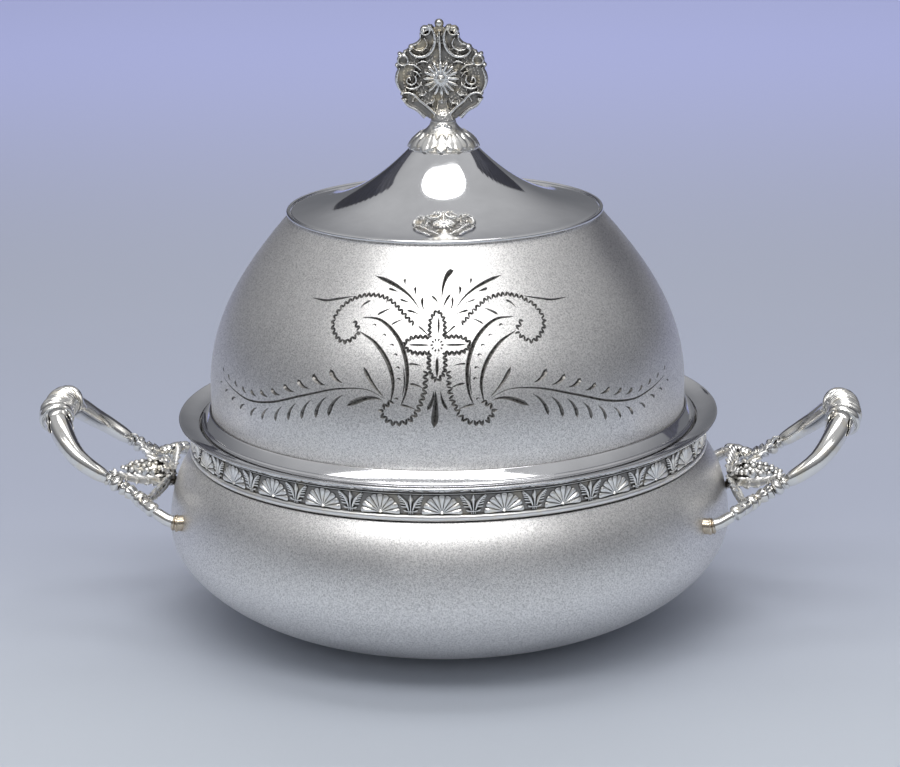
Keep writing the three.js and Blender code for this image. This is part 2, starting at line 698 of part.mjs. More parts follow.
function makeHandle(side) {
  const curve = gripCurve();
  const handle = new THREE.Group();
  // Turning the right handle round puts its rear arm at the front
  const [near, far] = side === 'right' ? ['front', 'rear'] : ['rear', 'front'];
  handle.add(
    piece(`${side}_handle_${near}_arm`, makeArm(curve, false), CAST),
    piece(`${side}_handle_${far}_arm`, makeArm(curve, true), CAST),
    piece(`${side}_reeded_sleeve`, makeSleeve(curve), CAST),
    piece(`${side}_${near}_mount_collar`, makeMountCollar(curve, false), SOLDER),
    piece(`${side}_${far}_mount_collar`, makeMountCollar(curve, true), SOLDER),
    piece(`${side}_leaf_bracket`, makeLeafBracket(curve), CAST),
    piece(`${side}_berry_cluster`, makeBerryCluster(), CAST),
  );
  handle.rotation.z = side === 'right' ? 0 : Math.PI;
  return handle;
}

// Finial

// Scrolled cartouche, as shares of its half width and of its height above the neck
function cartoucheOutline() {
  const right = [
    [0.28, 0], [0.42, 0.07], [0.62, 0.13], [0.84, 0.2], [0.86, 0.3], [1, 0.38],
    [0.92, 0.47], [0.97, 0.56], [0.86, 0.69], [0.7, 0.73], [0.58, 0.76], [0.46, 0.74],
    [0.36, 0.82], [0.42, 0.9], [0.36, 0.96], [0.22, 0.95], [0.12, 0.98],
  ];
  const left = right.map(([x, y]) => [-x, y]).reverse();
  const height = FINIAL_HEIGHT - FINIAL_SHOULDER;
  return [...right, ...left].map(([x, y]) => [x * FINIAL_WIDTH / 2, FINIAL_SHOULDER + y * height]);
}

function standUp(outline, thickness) {
  const plate = new THREE.ExtrudeGeometry(outlineShape(outline), { depth: thickness, bevelEnabled: false, steps: 1 });
  plate.translate(0, 0, -thickness / 2).rotateX(Math.PI / 2);
  return toSolid(plate.translate(0, 0, neckHeight));
}

function rosetteOutline() {
  return evenly(0, 2 * Math.PI, 2 * ROSETTE_PETALS).slice(1).map((angle, i) => {
    const reach = i % 2 ? ROSETTE_RADIUS : PETAL_NOTCH * ROSETTE_RADIUS;
    return [reach * Math.cos(angle), rosetteHeight + reach * Math.sin(angle)];
  });
}

function ball(radius, halfDepth, height) {
  const round = new THREE.IcosahedronGeometry(1, 1).scale(radius, halfDepth, radius);
  return toSolid(round.translate(0, 0, height));
}

function makeFinial() {
  const shoulder = neckHeight + FINIAL_SHOULDER;
  const runOut = neckHeight + FINIAL_TAPER;
  const neck = revolve([
    [0, neckHeight],
    [FINIAL_NECK_RADIUS, neckHeight],
    [mix(FINIAL_NECK_RADIUS, FINIAL_THICKNESS / 2, 0.3), shoulder],
    [FINIAL_THICKNESS / 2, runOut],
    [0, runOut],
  ], 12);
  const bore = STUD_RADIUS + FIT;
  const socketTop = neckHeight + STUD_SOCKET + FIT;
  const socket = revolve([[0, neckHeight - 1], [bore, neckHeight - 1], [bore, socketTop], [0, socketTop]], 10);
  const top = neckHeight + FINIAL_HEIGHT;
  return standUp(cartoucheOutline(), FINIAL_THICKNESS)
    .add(standUp(rosetteOutline(), FINIAL_THICKNESS + 2 * ROSETTE_RELIEF))
    .add(ball(TOP_BALL_RADIUS, TOP_BALL_RADIUS, top - TOP_BALL_RADIUS))
    .add(ball(BOSS_RADIUS, FINIAL_THICKNESS / 2 + BOSS_RADIUS, neckHeight + rosetteHeight))
    .add(neck)
    .subtract(socket);
}

// Flared foot of eight leaves, sitting over the top of the cap
function makeFinialFoot() {
  const top = neckHeight - FIT;
  const tip = CAP_TOP_HEIGHT - FOOT_DROP;
  const shoulder = [mix(FINIAL_NECK_RADIUS, FOOT_FLARE_RADIUS, 0.83), mix(tip, top, 0.45)];
  const waist = [mix(FINIAL_NECK_RADIUS, FOOT_FLARE_RADIUS, 0.07), mix(tip, top, 0.6)];
  const profile = bend([FOOT_FLARE_RADIUS, tip], shoulder, waist, [FINIAL_NECK_RADIUS, top], 4);
  const levels = profile.length - 1;
  const sides = 2 * FOOT_LOBES;
  const corners = [];
  const faces = [];
  profile.forEach(([radius, height], level) => {
    for (let j = 0; j < sides; j += 1) {
      const angle = j * 2 * Math.PI / sides;
      const reach = j % 2 ? radius : radius - FOOT_LOBE_DEPTH * (1 - level / levels);
      corners.push(reach * Math.cos(angle), reach * Math.sin(angle), height);
    }
  });
  for (let i = 0; i < levels; i += 1) {
    for (let j = 0; j < sides; j += 1) {
      const next = (j + 1) % sides;
      const [a, b] = [i * sides + j, i * sides + next];
      faces.push(a, b, a + sides, b, b + sides, a + sides);
    }
  }
  const last = levels * sides;
  for (let j = 1; j < sides - 1; j += 1) {
    faces.push(0, j + 1, j);
    faces.push(last, last + j, last + j + 1);
  }
  const geometry = new THREE.BufferGeometry();
  geometry.setAttribute('position', new THREE.Float32BufferAttribute(corners, 3));
  geometry.setIndex(faces);
  const capBody = revolve([[0, capBottom], ...inset(capOutside(5), -FIT), [0, crownHeight + FIT]], 2 * FOOT_LOBES);
  const bore = revolve([
    [0, capBottom],
    [STUD_RADIUS + FIT, capBottom],
    [STUD_RADIUS + FIT, top + 1],
    [0, top + 1],
  ], 10);
  return toSolid(geometry).subtract(capBody).subtract(bore);
}

function makeStud() {
  const bottom = crownHeight - CAP_WALL - WASHER_THICKNESS - NUT_HEIGHT - 3 * FIT;
  const top = neckHeight + STUD_SOCKET;
  return revolve([[0, bottom], [STUD_RADIUS, bottom], [STUD_RADIUS, top], [0, top]], 10);
}

function makeWasher() {
  const top = crownHeight - CAP_WALL - FIT;
  const bore = STUD_RADIUS + FIT;
  const bottom = top - WASHER_THICKNESS;
  return revolve([[bore, bottom], [WASHER_RADIUS, bottom], [WASHER_RADIUS, top], [bore, top]], 12);
}

function makeNut() {
  const top = crownHeight - CAP_WALL - WASHER_THICKNESS - 2 * FIT;
  const hexagon = new THREE.Shape(circlePath(NUT_RADIUS, 6));
  hexagon.holes.push(new THREE.Path(circlePath(STUD_RADIUS + FIT, 10)));
  const nut = new THREE.ExtrudeGeometry(hexagon, { depth: NUT_HEIGHT, bevelEnabled: false, steps: 1 });
  return toSolid(nut.translate(0, 0, top - NUT_HEIGHT));
}

const group = new THREE.Group();
group.add(
  piece('bowl_body', makeBowl(), SATIN),
  piece('foot_ring', makeFootRing(), SATIN),
  piece('border_band', makeBorder(), OXIDISED),
  piece('flared_rim', makeRim(), POLISHED),
  piece('seat_collar', makeSeatCollar(), POLISHED),
  piece('drainer_plate', makeDrainer(), POLISHED),
  piece('cover_dome', makeDome(), SATIN),
  piece('cover_moulding', makeMoulding(), POLISHED),
  piece('cover_cap', makeCap(), POLISHED),
  piece('cap_bead', makeCapBead(), POLISHED),
  piece('finial', makeFinial(), CAST),
  piece('finial_foot', makeFinialFoot(), CAST),
  piece('finial_stud', makeStud(), SOLDER),
  piece('finial_washer', makeWasher(), SOLDER),
  piece('finial_nut', makeNut(), SOLDER),
  makeHandle('left'),
  makeHandle('right'),
);

export default group;
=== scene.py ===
# %% [markdown]
# # A covered butter dish in silver plate
#
# A dish like this is spun, rolled, cast and soldered: a bellied bowl, a rolled border strip, a flared
# rim, a domed cover with a polished cap, two cast handles and a cast finial. The CAD model gives every
# piece its real size and place. Here each piece is made again with the surface that the silversmith
# left on it, and stands for its CAD solid.

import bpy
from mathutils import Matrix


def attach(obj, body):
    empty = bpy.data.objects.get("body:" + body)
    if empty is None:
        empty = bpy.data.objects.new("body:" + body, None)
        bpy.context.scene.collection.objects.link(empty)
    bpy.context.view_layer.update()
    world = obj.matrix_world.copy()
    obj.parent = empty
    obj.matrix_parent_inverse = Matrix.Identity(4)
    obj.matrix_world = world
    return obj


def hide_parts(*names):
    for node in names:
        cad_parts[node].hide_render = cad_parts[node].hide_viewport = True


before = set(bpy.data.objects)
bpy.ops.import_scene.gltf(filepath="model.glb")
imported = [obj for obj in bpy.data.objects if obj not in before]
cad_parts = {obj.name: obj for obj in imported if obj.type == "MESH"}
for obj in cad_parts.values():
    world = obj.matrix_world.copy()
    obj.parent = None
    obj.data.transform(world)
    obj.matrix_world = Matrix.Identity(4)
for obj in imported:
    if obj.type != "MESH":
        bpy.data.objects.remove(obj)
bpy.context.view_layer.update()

# %% Lay out the tools
import math

import bmesh
import bpy
import numpy as np
from mathutils import Matrix, Vector, geometry

MM = 0.001
FULL_TURN = 2 * math.pi
scene = bpy.context.scene


def put(name, data):
    made = bpy.data.objects.new(name, data)
    scene.collection.objects.link(made)
    return made


# %% [markdown]
# ## Camera
#
# The picture was taken from just under a metre away with a long lens, a little above the table, and the
# camera leaned by not quite a degree. The distance, rise and roll come from the ellipses of the rim,
# border, cover and base. The two handles show that it stood four degrees to the right.

# %% Stand the camera
CAMERA_DISTANCE = 0.942
CAMERA_RISE = math.radians(15.55)
CAMERA_ROLL = math.radians(0.925)
CAMERA_SIDE = math.radians(4)
CAMERA_LENS = 113.87
AIM = Vector((0.0008, 0, 0.0785))

sideways = Matrix.Rotation(CAMERA_SIDE, 4, "Z")
away = sideways @ Vector((0, -math.cos(CAMERA_RISE), math.sin(CAMERA_RISE)))
camera = put("camera", bpy.data.cameras.new("camera"))
camera.data.lens = CAMERA_LENS
camera.matrix_world = (
    Matrix.Translation(sideways @ AIM + CAMERA_DISTANCE * away)
    @ (-away).to_track_quat("-Z", "Y").to_matrix().to_4x4()
    @ Matrix.Rotation(-CAMERA_ROLL, 4, "Z")
)
scene.camera = camera
scene.view_settings.view_transform = "Standard"
print("camera at", [round(x, 3) for x in camera.matrix_world.translation])

# %% [markdown]
# ## Nodes
#
# Materials, the world and Geometry Nodes are all node trees. One helper adds a node, sets its own
# settings and fills its inputs: another node's output is linked, and a number or a colour is set.

# %% Add nodes
def plug(tree, socket, value):
    if isinstance(value, bpy.types.NodeSocket):
        tree.links.new(value, socket)
    else:
        socket.default_value = value


def node(tree, kind, inputs=None, **settings):
    made = tree.nodes.new(kind)
    for key, value in settings.items():
        setattr(made, key, value)
    for key, value in (inputs or {}).items():
        plug(tree, made.inputs[key], value)
    return made


def sums(tree, operation, *values):
    return node(tree, "ShaderNodeMath", dict(enumerate(values)), operation=operation).outputs[0]


def blend_colors(tree, factor, first, second):
    return node(tree, "ShaderNodeMix", {0: factor, 6: first, 7: second}, data_type="RGBA").outputs[2]


def spread(tree, value, *limits):
    """A smooth step between two values, to 0 and 1 or to two given values."""
    inputs = dict(enumerate((value, *limits)))
    return node(tree, "ShaderNodeMapRange", inputs, interpolation_type="SMOOTHSTEP").outputs[0]


def place_in(tree):
    return node(tree, "ShaderNodeTexCoord").outputs["Object"]


def noise(tree, scale, detail=2.0, stretch=None):
    place = place_in(tree)
    if stretch:
        place = node(tree, "ShaderNodeMapping", {"Vector": place, "Scale": stretch}).outputs[0]
    inputs = {"Vector": place, "Scale": scale, "Detail": detail}
    return node(tree, "ShaderNodeTexNoise", inputs).outputs["Fac"]


def rgb(red, green, blue):
    return (red, green, blue, 1)


def new_material(name, roughness=0.5, metallic=1.0):
    """A material, its node tree and the sockets of its shader."""
    material = bpy.data.materials.new(name)
    material.use_nodes = True
    sockets = material.node_tree.nodes["Principled BSDF"].inputs
    sockets["Metallic"].default_value = metallic
    sockets["Roughness"].default_value = roughness
    return material, material.node_tree, sockets


# %% [markdown]
# ## Studio
#
# Polished silver has no look of its own: it shows the room. An oval softbox overhead gives the white
# patch on the cap. One over the front gives the broad shine on the satin, and a long strip light draws
# it out to both sides. Two more light only the pale sweep, whose colour holds painted light and shade:
# lighter in front, darker beside the dish and lavender far behind.
# The rest of the room is a soft grey that gives the silver its darker sides. Two folded curtains stand
# far behind, too high for the camera, where only the cap can see them.

# %% Paint the floor
FLOOR_RADIUS = 3.0
# The floor's colours are painted light and shade: lighter in front, painted shade beside the dish, painted
# lavender light far behind.
FLOOR_FRONT_PAINTED_LIGHT = rgb(0.48, 0.515, 0.57)
FLOOR_BESIDE_PAINTED_SHADE = rgb(0.395, 0.425, 0.525)
FLOOR_BEHIND_PAINTED_LAVENDER_LIGHT = rgb(0.5, 0.54, 0.9)

bpy.ops.mesh.primitive_circle_add(vertices=96, radius=FLOOR_RADIUS, fill_type="NGON")
floor = bpy.context.object
floor.name = "floor"
paper, tree, sockets = new_material("pale_paper", 0.55, 0.0)
depth = node(tree, "ShaderNodeSeparateXYZ", {0: place_in(tree)}).outputs["Y"]
shade = blend_colors(tree, spread(tree, depth, -0.15, 0.15), FLOOR_FRONT_PAINTED_LIGHT, FLOOR_BESIDE_PAINTED_SHADE)
plug(tree, sockets["Base Color"], blend_colors(tree, spread(tree, depth, 0.4, 1.3), shade, FLOOR_BEHIND_PAINTED_LAVENDER_LIGHT))
floor.data.materials.append(paper)

# %% Fill the room with soft light
ROOM_LOW = rgb(0.15, 0.155, 0.17)
ROOM_HIGH = rgb(0.47, 0.475, 0.49)
LIT_POINT = Vector((0, 0, 0.1))

world = bpy.data.worlds.new("room")
world.use_nodes = True
scene.world = world
tree = world.node_tree
direction = node(tree, "ShaderNodeTexCoord").outputs["Generated"]
height = node(tree, "ShaderNodeSeparateXYZ", {0: direction}).outputs["Z"]
room = blend_colors(tree, spread(tree, height, 0.1, 0.75), ROOM_LOW, ROOM_HIGH)
plug(tree, tree.nodes["Background"].inputs["Color"], room)


def softbox(name, place, width, depth, power, mirrored_in_silver=True):
    """An oval lamp that faces the dish."""
    lamp = bpy.data.lights.new(name, "AREA")
    lamp.shape = "ELLIPSE"
    lamp.size = width
    lamp.size_y = depth
    lamp.energy = power
    box = put(name, lamp)
    box.location = place
    box.rotation_euler = (LIT_POINT - Vector(place)).to_track_quat("-Z", "Y").to_euler()
    box.visible_glossy = mirrored_in_silver


softbox("softbox_overhead", (0, 0.09, 1.55), 1.05, 0.54, 4.9)
softbox("softbox_over_front", (-0.04, -0.76, 1.2), 1.2, 0.5, 6.3)
softbox("striplight_over_front", (-0.04, -0.92, 1.16), 3.0, 0.2, 3)
softbox("softbox_over_sweep", (0, 1.9, 1.9), 2.4, 1.2, 14, mirrored_in_silver=False)
softbox("softbox_under_shadow", (0, -2.1, 0.9), 3.2, 1.2, 12, mirrored_in_silver=False)

# %% Hang the curtains
FOLD_WIDTH = 0.26
FOLD_DEPTH = 0.1
FOLD_STEPS = 16
CURTAIN_FOOT = 0.42
CURTAINS = (("curtain_left", -1.45, 1.45, 4.6, 1.9), ("curtain_right", 1.45, 1.05, 4.6, 2.25))

cloth, tree, sockets = new_material("curtain_cloth", 0.9, 0.0)
weave = blend_colors(tree, noise(tree, 30.0), rgb(0.1, 0.1, 0.11), rgb(0.17, 0.17, 0.19))
plug(tree, sockets["Base Color"], weave)
for name, x, near, far, high in CURTAINS:
    steps = FOLD_STEPS * round((far - near) / FOLD_WIDTH)
    points = []
    for i in range(steps + 1):
        fold = FOLD_DEPTH * abs(math.sin(math.pi * i / FOLD_STEPS))
        points += [(x + fold, near + (far - near) * i / steps, z) for z in (CURTAIN_FOOT, high)]
    hanging = bpy.data.meshes.new(name)
    hanging.from_pydata(points, [], [(2 * i, 2 * i + 2, 2 * i + 3, 2 * i + 1) for i in range(steps)])
    hanging.shade_smooth()
    hanging.materials.append(cloth)
    hung = put(name, hanging)
    hung.visible_diffuse = False
    hung.visible_shadow = False

# %% [markdown]
# ## Spinning
#
# Most of the dish is spun on a lathe, so a list of radii and heights says all there is to know about a
# piece. The list is closed, which gives the sheet its thickness, and turning it about the Z axis gives
# a closed skin. Corners on the list are rounded first, because a sharp edge on silver never catches
# light as a real one does.

# %% Draw curved profiles
SHARP_TURN = math.radians(25)


def unit(vectors):
    return vectors / np.linalg.norm(vectors, axis=-1, keepdims=True)


def left_of(run):
    return np.stack([-run[:, 1], run[:, 0]], axis=1)


def bend(start, lead, follow, end, steps):
    t = np.linspace(0, 1, steps + 1)[:, None]
    a, b, c, d = (np.array(p, float) for p in (start, lead, follow, end))
    return (1 - t) ** 3 * a + 3 * (1 - t) ** 2 * t * b + 3 * (1 - t) * t * t * c + t ** 3 * d


def lining(profile, wall):
    """The inner side of an upward-running profile, at a wall's thickness, from the top down."""
    run = unit(np.gradient(profile, axis=0))
    return (profile + wall * left_of(run))[1:-1][::-1]


def rounded(profile, radius, steps=3):
    """Rounds the sharp corners of a closed profile."""
    profile = np.array(profile, float)
    softened = []
    for before, corner, after in zip(np.roll(profile, 1, axis=0), profile, np.roll(profile, -1, axis=0)):
        arrive, leave = corner - before, after - corner
        coming, going = np.linalg.norm(arrive), np.linalg.norm(leave)
        turn = abs(math.atan2(arrive[0] * leave[1] - arrive[1] * leave[0], arrive @ leave))
        cut = min(radius, 0.45 * min(coming, going))
        if turn < SHARP_TURN or cut < 0.01 or corner[0] < 1e-6:
            softened.append(corner)
            continue
        enter, go = corner - cut * arrive / coming, corner + cut * leave / going
        t = np.linspace(0, 1, steps + 1)[:, None]
        softened += list((1 - t) ** 2 * enter + 2 * t * (1 - t) * corner + t * t * go)
    return np.array(softened)


# %% Turn a profile into a closed skin
TURNS = 224
CREASE = math.radians(38)


def skin(name, points, faces, crease=CREASE, kinds=None):
    """A mesh object from points in mm, with its faces outwards and its corners crisp."""
    mesh = bpy.data.meshes.new(name)
    mesh.from_pydata([[MM * x for x in p] for p in points], [], faces)
    if kinds is not None:
        mesh.polygons.foreach_set("material_index", kinds)
    shell = bmesh.new()
    shell.from_mesh(mesh)
    bmesh.ops.remove_doubles(shell, verts=shell.verts, dist=1e-7)
    bmesh.ops.recalc_face_normals(shell, faces=shell.faces)
    shell.to_mesh(mesh)
    shell.free()
    mesh.shade_smooth()
    mesh.set_sharp_from_angle(angle=crease)
    return put(name, mesh)


def spun_solid(profile, turns, closed=True):
    angles = FULL_TURN * np.arange(turns) / turns
    points, rings = [], []
    for radius, height in profile:
        count = 1 if radius < 1e-6 else turns
        rings.append([len(points) + j % count for j in range(turns)])
        points += [(radius * math.cos(a), radius * math.sin(a), height) for a in angles[:count]]
    faces = []
    for low, high in zip(rings, rings[1:] + rings[:1] if closed else rings[1:]):
        for j in range(turns):
            k = (j + 1) % turns
            corners = list(dict.fromkeys((low[j], low[k], high[k], high[j])))
            if len(corners) > 2:
                faces.append(corners)
    return points, faces


# %% [markdown]
# ## Silver
#
# Every finish on the dish is the same metal, so it is always metallic, and what changes is the grain,
# the tarnish and painted shade in the hollows and the wear on the edges. The frosted ground of bowl and dome
# is a fine sandblasted grain, kept in a node group of its own.

# %% Build the grain as a group
def new_group(name, kind, inputs, outputs):
    """A group of nodes with named inputs and outputs, each of a given kind."""
    group = bpy.data.node_groups.new(name, kind)
    for way, sockets in (("INPUT", inputs), ("OUTPUT", outputs)):
        for label, socket in sockets.items():
            group.interface.new_socket(label, in_out=way, socket_type="NodeSocket" + socket)
    return group, node(group, "NodeGroupInput").outputs, node(group, "NodeGroupOutput").inputs


grain_group, grain_in, grain_out = new_group(
    "sandblasted_grain", "ShaderNodeTree",
    {"Light": "Color", "Dark": "Color", "Grain": "Float"},
    {"Color": "Color", "Height": "Float", "Cloud": "Float"},
)
fine = sums(grain_group, "MULTIPLY", noise(grain_group, grain_in["Grain"]), 0.7)
speck = sums(grain_group, "MULTIPLY_ADD", noise(grain_group, 1500.0), 0.3, fine)
shade = blend_colors(grain_group, spread(grain_group, speck, 0.36, 0.6), grain_in["Dark"], grain_in["Light"])
plug(grain_group, grain_out["Color"], shade)
plug(grain_group, grain_out["Height"], speck)
plug(grain_group, grain_out["Cloud"], noise(grain_group, 24.0, 3.0))


# %% Mix the satin and polished finishes
def use_group(tree, group, inputs):
    return node(tree, "ShaderNodeGroup", inputs, node_tree=group).outputs


def bump(tree, height, strength, depth):
    inputs = {"Height": height, "Strength": strength, "Distance": depth}
    return node(tree, "ShaderNodeBump", inputs).outputs["Normal"]


def sheltered(tree, reach):
    """1 in the open and less in a hollow."""
    return node(tree, "ShaderNodeAmbientOcclusion", {"Distance": reach}, samples=8).outputs["AO"]


def satin_silver(name, light, dark, roughness, grain, strength):
    material, tree, sockets = new_material(name, roughness)
    outputs = use_group(tree, grain_group, {"Light": light, "Dark": dark, "Grain": grain})
    plug(tree, sockets["Base Color"], outputs["Color"])
    rough = spread(tree, outputs["Cloud"], 0.3, 0.7, roughness - 0.05, roughness + 0.05)
    plug(tree, sockets["Roughness"], rough)
    plug(tree, sockets["Normal"], bump(tree, outputs["Height"], strength, 0.00006))
    return material


def mirror_silver(name, tint, roughness):
    """Polished plate, with a faint film and hairline scratches from a lifetime of cloths."""
    material, tree, sockets = new_material(name, roughness)
    film = spread(tree, noise(tree, 40.0, 4.0), 0.35, 0.7)
    hair = noise(tree, 700.0, stretch=(1.0, 1.0, 30.0))
    dull = rgb(*(0.86 * x for x in tint[:3]))
    plug(tree, sockets["Base Color"], blend_colors(tree, film, tint, dull))
    plug(tree, sockets["Roughness"], spread(tree, hair, 0.4, 0.75, roughness, roughness + 0.06))
    return material


def graved_silver(name, bright, dark):
    """The floor of a graver's cut: bright facets, darker in their depth, where old polish lies and ambient
    occlusion paints in shade.
    """
    material, tree, sockets = new_material(name, 0.42)
    chatter = noise(tree, 1400.0, 1.0)
    # Ambient occlusion darkens the depth of each cut: old polish, and painted shade.
    open_face = spread(tree, sums(tree, "MULTIPLY", sheltered(tree, 0.0006), chatter), 0.22, 0.5)
    plug(tree, sockets["Base Color"], blend_colors(tree, open_face, dark, bright))
    plug(tree, sockets["Normal"], bump(tree, chatter, 0.3, 0.00003))
    return material


SATIN = satin_silver("satin_plate", rgb(1.0, 0.985, 0.965), rgb(0.56, 0.55, 0.54), 0.4, 3400.0, 0.8)
MIRROR = mirror_silver("mirror_plate", rgb(0.93, 0.93, 0.94), 0.05)
GRAVED = graved_silver("graved_plate", rgb(0.24, 0.232, 0.22), rgb(0.05, 0.048, 0.045))
print("finishes:", SATIN.name, MIRROR.name, GRAVED.name)

# %% [markdown]
# ## Putting a piece in its place
#
# A finished piece gets its material, rides on its CAD body and hides the CAD solid that it stands for.

# %% Fit a piece
def fit(piece, body, node_name, slot, *materials):
    for material in materials:
        piece.data.materials.append(material)
    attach(piece, body)
    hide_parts(node_name)
    piece.data.calc_loop_triangles()
    print(f"{piece.name}: {len(piece.data.loop_triangles)} triangles on {body}")


def spin(name, profile, softness, *fitting):
    """Spins a closed profile with softened corners, and fits it."""
    fit(skin(name, *spun_solid(rounded(profile, softness), TURNS)), *fitting)


# %% [markdown]
# ## Bowl and foot
#
# The bowl is one spinning: a nearly flat bottom, a full belly, then a shoulder that draws in to a
# straight collar. Two curves meet at the widest point, so the belly has no flat there. The foot is a
# low ring soldered under it.

# %% Spin the bowl
BOWL_WALL = 1.4
BELLY_RADIUS, BELLY_HEIGHT = 92.9, 34
lower_bowl = bend((47, 2.4), (69.95, 3.5), (BELLY_RADIUS, 20.0), (BELLY_RADIUS, BELLY_HEIGHT), 30)
upper_bowl = bend((BELLY_RADIUS, BELLY_HEIGHT), (BELLY_RADIUS, 42.95), (90.5, 52.2), (84.9, 58.2), 22)
bowl_outside = np.vstack([lower_bowl, upper_bowl[1:]])
bowl_profile = np.vstack([
    [(0, 2.4)], bowl_outside, [(83.4, 58.2), (83.4, 67.2), (82.0, 67.2), (82.0, 58.9)],
    lining(bowl_outside, BOWL_WALL), [(45.6, 3.8), (0, 3.8)],
])
spin("bowl_spinning", bowl_profile, 0.4, "dish", "bowl_body", "satin_silver", SATIN)

foot_profile = [(42.5, 0), (46.4, 0), (47, 0.7), (46.7, 1.5), (47, 2.1), (42.5, 2.1)]
spin("foot_wire", foot_profile, 0.3, "dish", "foot_ring", "satin_silver", SATIN)

# %% [markdown]
# ## Rim and seat
#
# The rim is a thin flange that flares out over the border and falls in a hollow to the well of the
# neck. Inside the neck sits a stepped ring: the cover stands on its top, and the drainer on its ledge.

# %% Spin the rim and the seat
flare = bend((84.8, 67.8), (86.4, 68.0), (88, 69.0), (88.9, 69.8), 12)
hollow = bend((88.5, 70.3), (87.4, 69.7), (85.2, 68.5), (82.3, 68.5), 14)
rim_profile = np.vstack([[(82.3, 67.8)], flare, [(89, 70.05), (88.85, 70.28)], hollow])
spin("flared_rim_flange", rim_profile, 0.25, "dish", "flared_rim", "polished_silver", MIRROR)

seat_profile = [
    (81.7, 65.3), (81.7, 66.5), (78.9, 66.5), (78.9, 61.9), (68.9, 61.9), (68.9, 59.5),
    (65.0, 59.5), (65.0, 58.3), (70.1, 58.3), (70.1, 60.7), (80.1, 60.7), (80.1, 65.3),
]
spin("stepped_seat", seat_profile, 0.3, "dish", "seat_collar", "polished_silver", MIRROR)

# %% [markdown]
# ## Cover
#
# The dome rises straight from its seat, then closes in one long curve to the edge of the cap. The cap
# is a hollow-sided cone, so bright that it shows the softbox. A bead wire hides the joint, and a
# moulding strengthens the foot of the dome.

# %% Spin the dome
COVER_WALL = 1.2
DOME_RADIUS = 78.1
dome_curve = bend((DOME_RADIUS, 80), (DOME_RADIUS, 101.9), (66.98, 118.3), (50.3, 137.2), 40)
dome_outside = np.vstack([[(DOME_RADIUS, height) for height in (62.7, 68, 74)], dome_curve])
dome_profile = rounded(np.vstack([
    dome_outside, [(46.5, 137.2), (46.5, 136.0)], lining(dome_outside, COVER_WALL), [(76.9, 62.7)],
]), 0.3)

# %% [markdown]
# ## Engraving
#
# The front of the dome is bright-cut: a flower with toothed petals stands between two crescents,
# toothed scrolls run round them, and a leafy spray leaves each side. The design is in mm on the
# unrolled dome, from the middle of the flower. A cut is its thin end, a point halfway, its broad end
# and half its width; a line is half its width and its points; a toothed line is the reach and the
# pitch of its teeth and its points. The sprays' leaves and the petals are drawn by rule. The left half
# is mirrored with a slightly unsteady hand.

# %% List the cuts
SIDE_CUTS = [
    (-11.5, 8, -13.5, 7.5, -16, 6, 0.25), (-16.5, 11.5, -19, 10.5, -21.5, 9, 0.32),
    (-28.5, 10.5, -27, 12.5, -25, 13.5, 0.29), (-2.5, 2.5, -4.5, 4.5, -6.5, 6, 0.29),
    (-5, -6.5, -7, -6, -9, -6, 0.29), (-4, -13.5, -6, -12.5, -8.5, -12, 0.32),
    (-6, -20, -8.5, -19, -11, -18.5, 0.29), (-17.5, 14.5, -18.5, 15, -19, 12.5, 0.14),
    (-16, -16.5, -20, -12.5, -23.5, -7.5, 0.54), (-16.5, -17.5, -21.5, -17, -28, -20, 0.72),
    (-6, 10.5, -13, 17.5, -26, 22, 0.56), (-12.5, 19.5, -13, 20.5, -13, 21.5, 0.4),
    (-8, 16, -8.5, 17.5, -8.5, 18.5, 0.4), (-4.5, 11, -5.5, 13, -5.5, 15.5, 0.4),
    (-15, 17, -17, 17.5, -19, 18, 0.36), (-10, 13.5, -12, 14, -14, 14.5, 0.3),
    (-6, 9.5, -8.5, 10.5, -11, 11, 0.32), (-1, -14, -1.5, -17, -3, -20, 0.5),
]
MIDDLE_CUTS = [
    (1.5, 14.5, 3, 21.5, 6.5, 24.5, 0.79), (0, 13, -0.5, 14.5, -2.5, 16, 0.32),
    (2, 11.5, 3, 14, 5, 16.5, 0.36), (-0.5, -14, -0.5, -19, -1, -25.5, 0.86),
]
STEM = [
    (-15.5, -17), (-21.5, -14.5), (-31, -15), (-43, -18.5), (-56.5, -23), (-67, -24.5), (-76, -23.5),
    (-86, -21.5),
]
SIDE_LINES = [
    (0.54, [(-27, 8), (-20, 7.5), (-13, 2), (-9.5, -6.5), (-9.5, -14.5), (-11, -19)]),
    (0.54, [(-27, 3.5), (-20.5, 0), (-15.5, -6), (-13.5, -12), (-14, -18)]),
    (0.18, [(-10.5, -6.5), (-10, -12), (-10.5, -16)]),
    (0.32, [(-50, 12), (-43, 12), (-38.5, 13), (-32, 14.5)]),
    (0.27, STEM),
]
MIDDLE_LINES = [
    (0.32, [(0.5, 3.5), (0.5, 9)]), (0.4, [(0, -3.5), (0, -10)]),
    (0.29, [(-9.5, 0), (-2.5, 0)]), (0.29, [(9.5, 0), (2.5, 0)]),
]
TOOTHED_LINES = [
    (0.975, 1.84, [
        (-29.5, 6.5), (-27, 3), (-32, -0.5), (-37.5, 4.5), (-36, 10.5), (-28.5, 15), (-18.5, 14.5), (-8, 6.5),
    ]),
    (1.065, 1.9, [(-3.5, -8), (-4, -15), (-8, -23), (-14, -24), (-17, -20.5), (-13.5, -17.5)]),
]
PETAL_EDGE = [(2.4, 2.4), (5.8, 2.6), (8.8, 2.1), (11, 0.2)]
PUNCHES = [(-22, 5.5), (-18, 2.5), (-15, -0.5), (-13.5, -3.5), (-12.5, -7.5), (-12, -11), (-12.5, -17)]

# %% Draw lines through points
def walk(path):
    """The length of a path up to each of its points."""
    return np.concatenate([[0], np.cumsum(np.linalg.norm(np.diff(path, axis=0), axis=1))])


def between(here, known, rows):
    """Rows of values at some places between the known ones."""
    return np.stack([np.interp(here, known, column) for column in rows.T], axis=1)


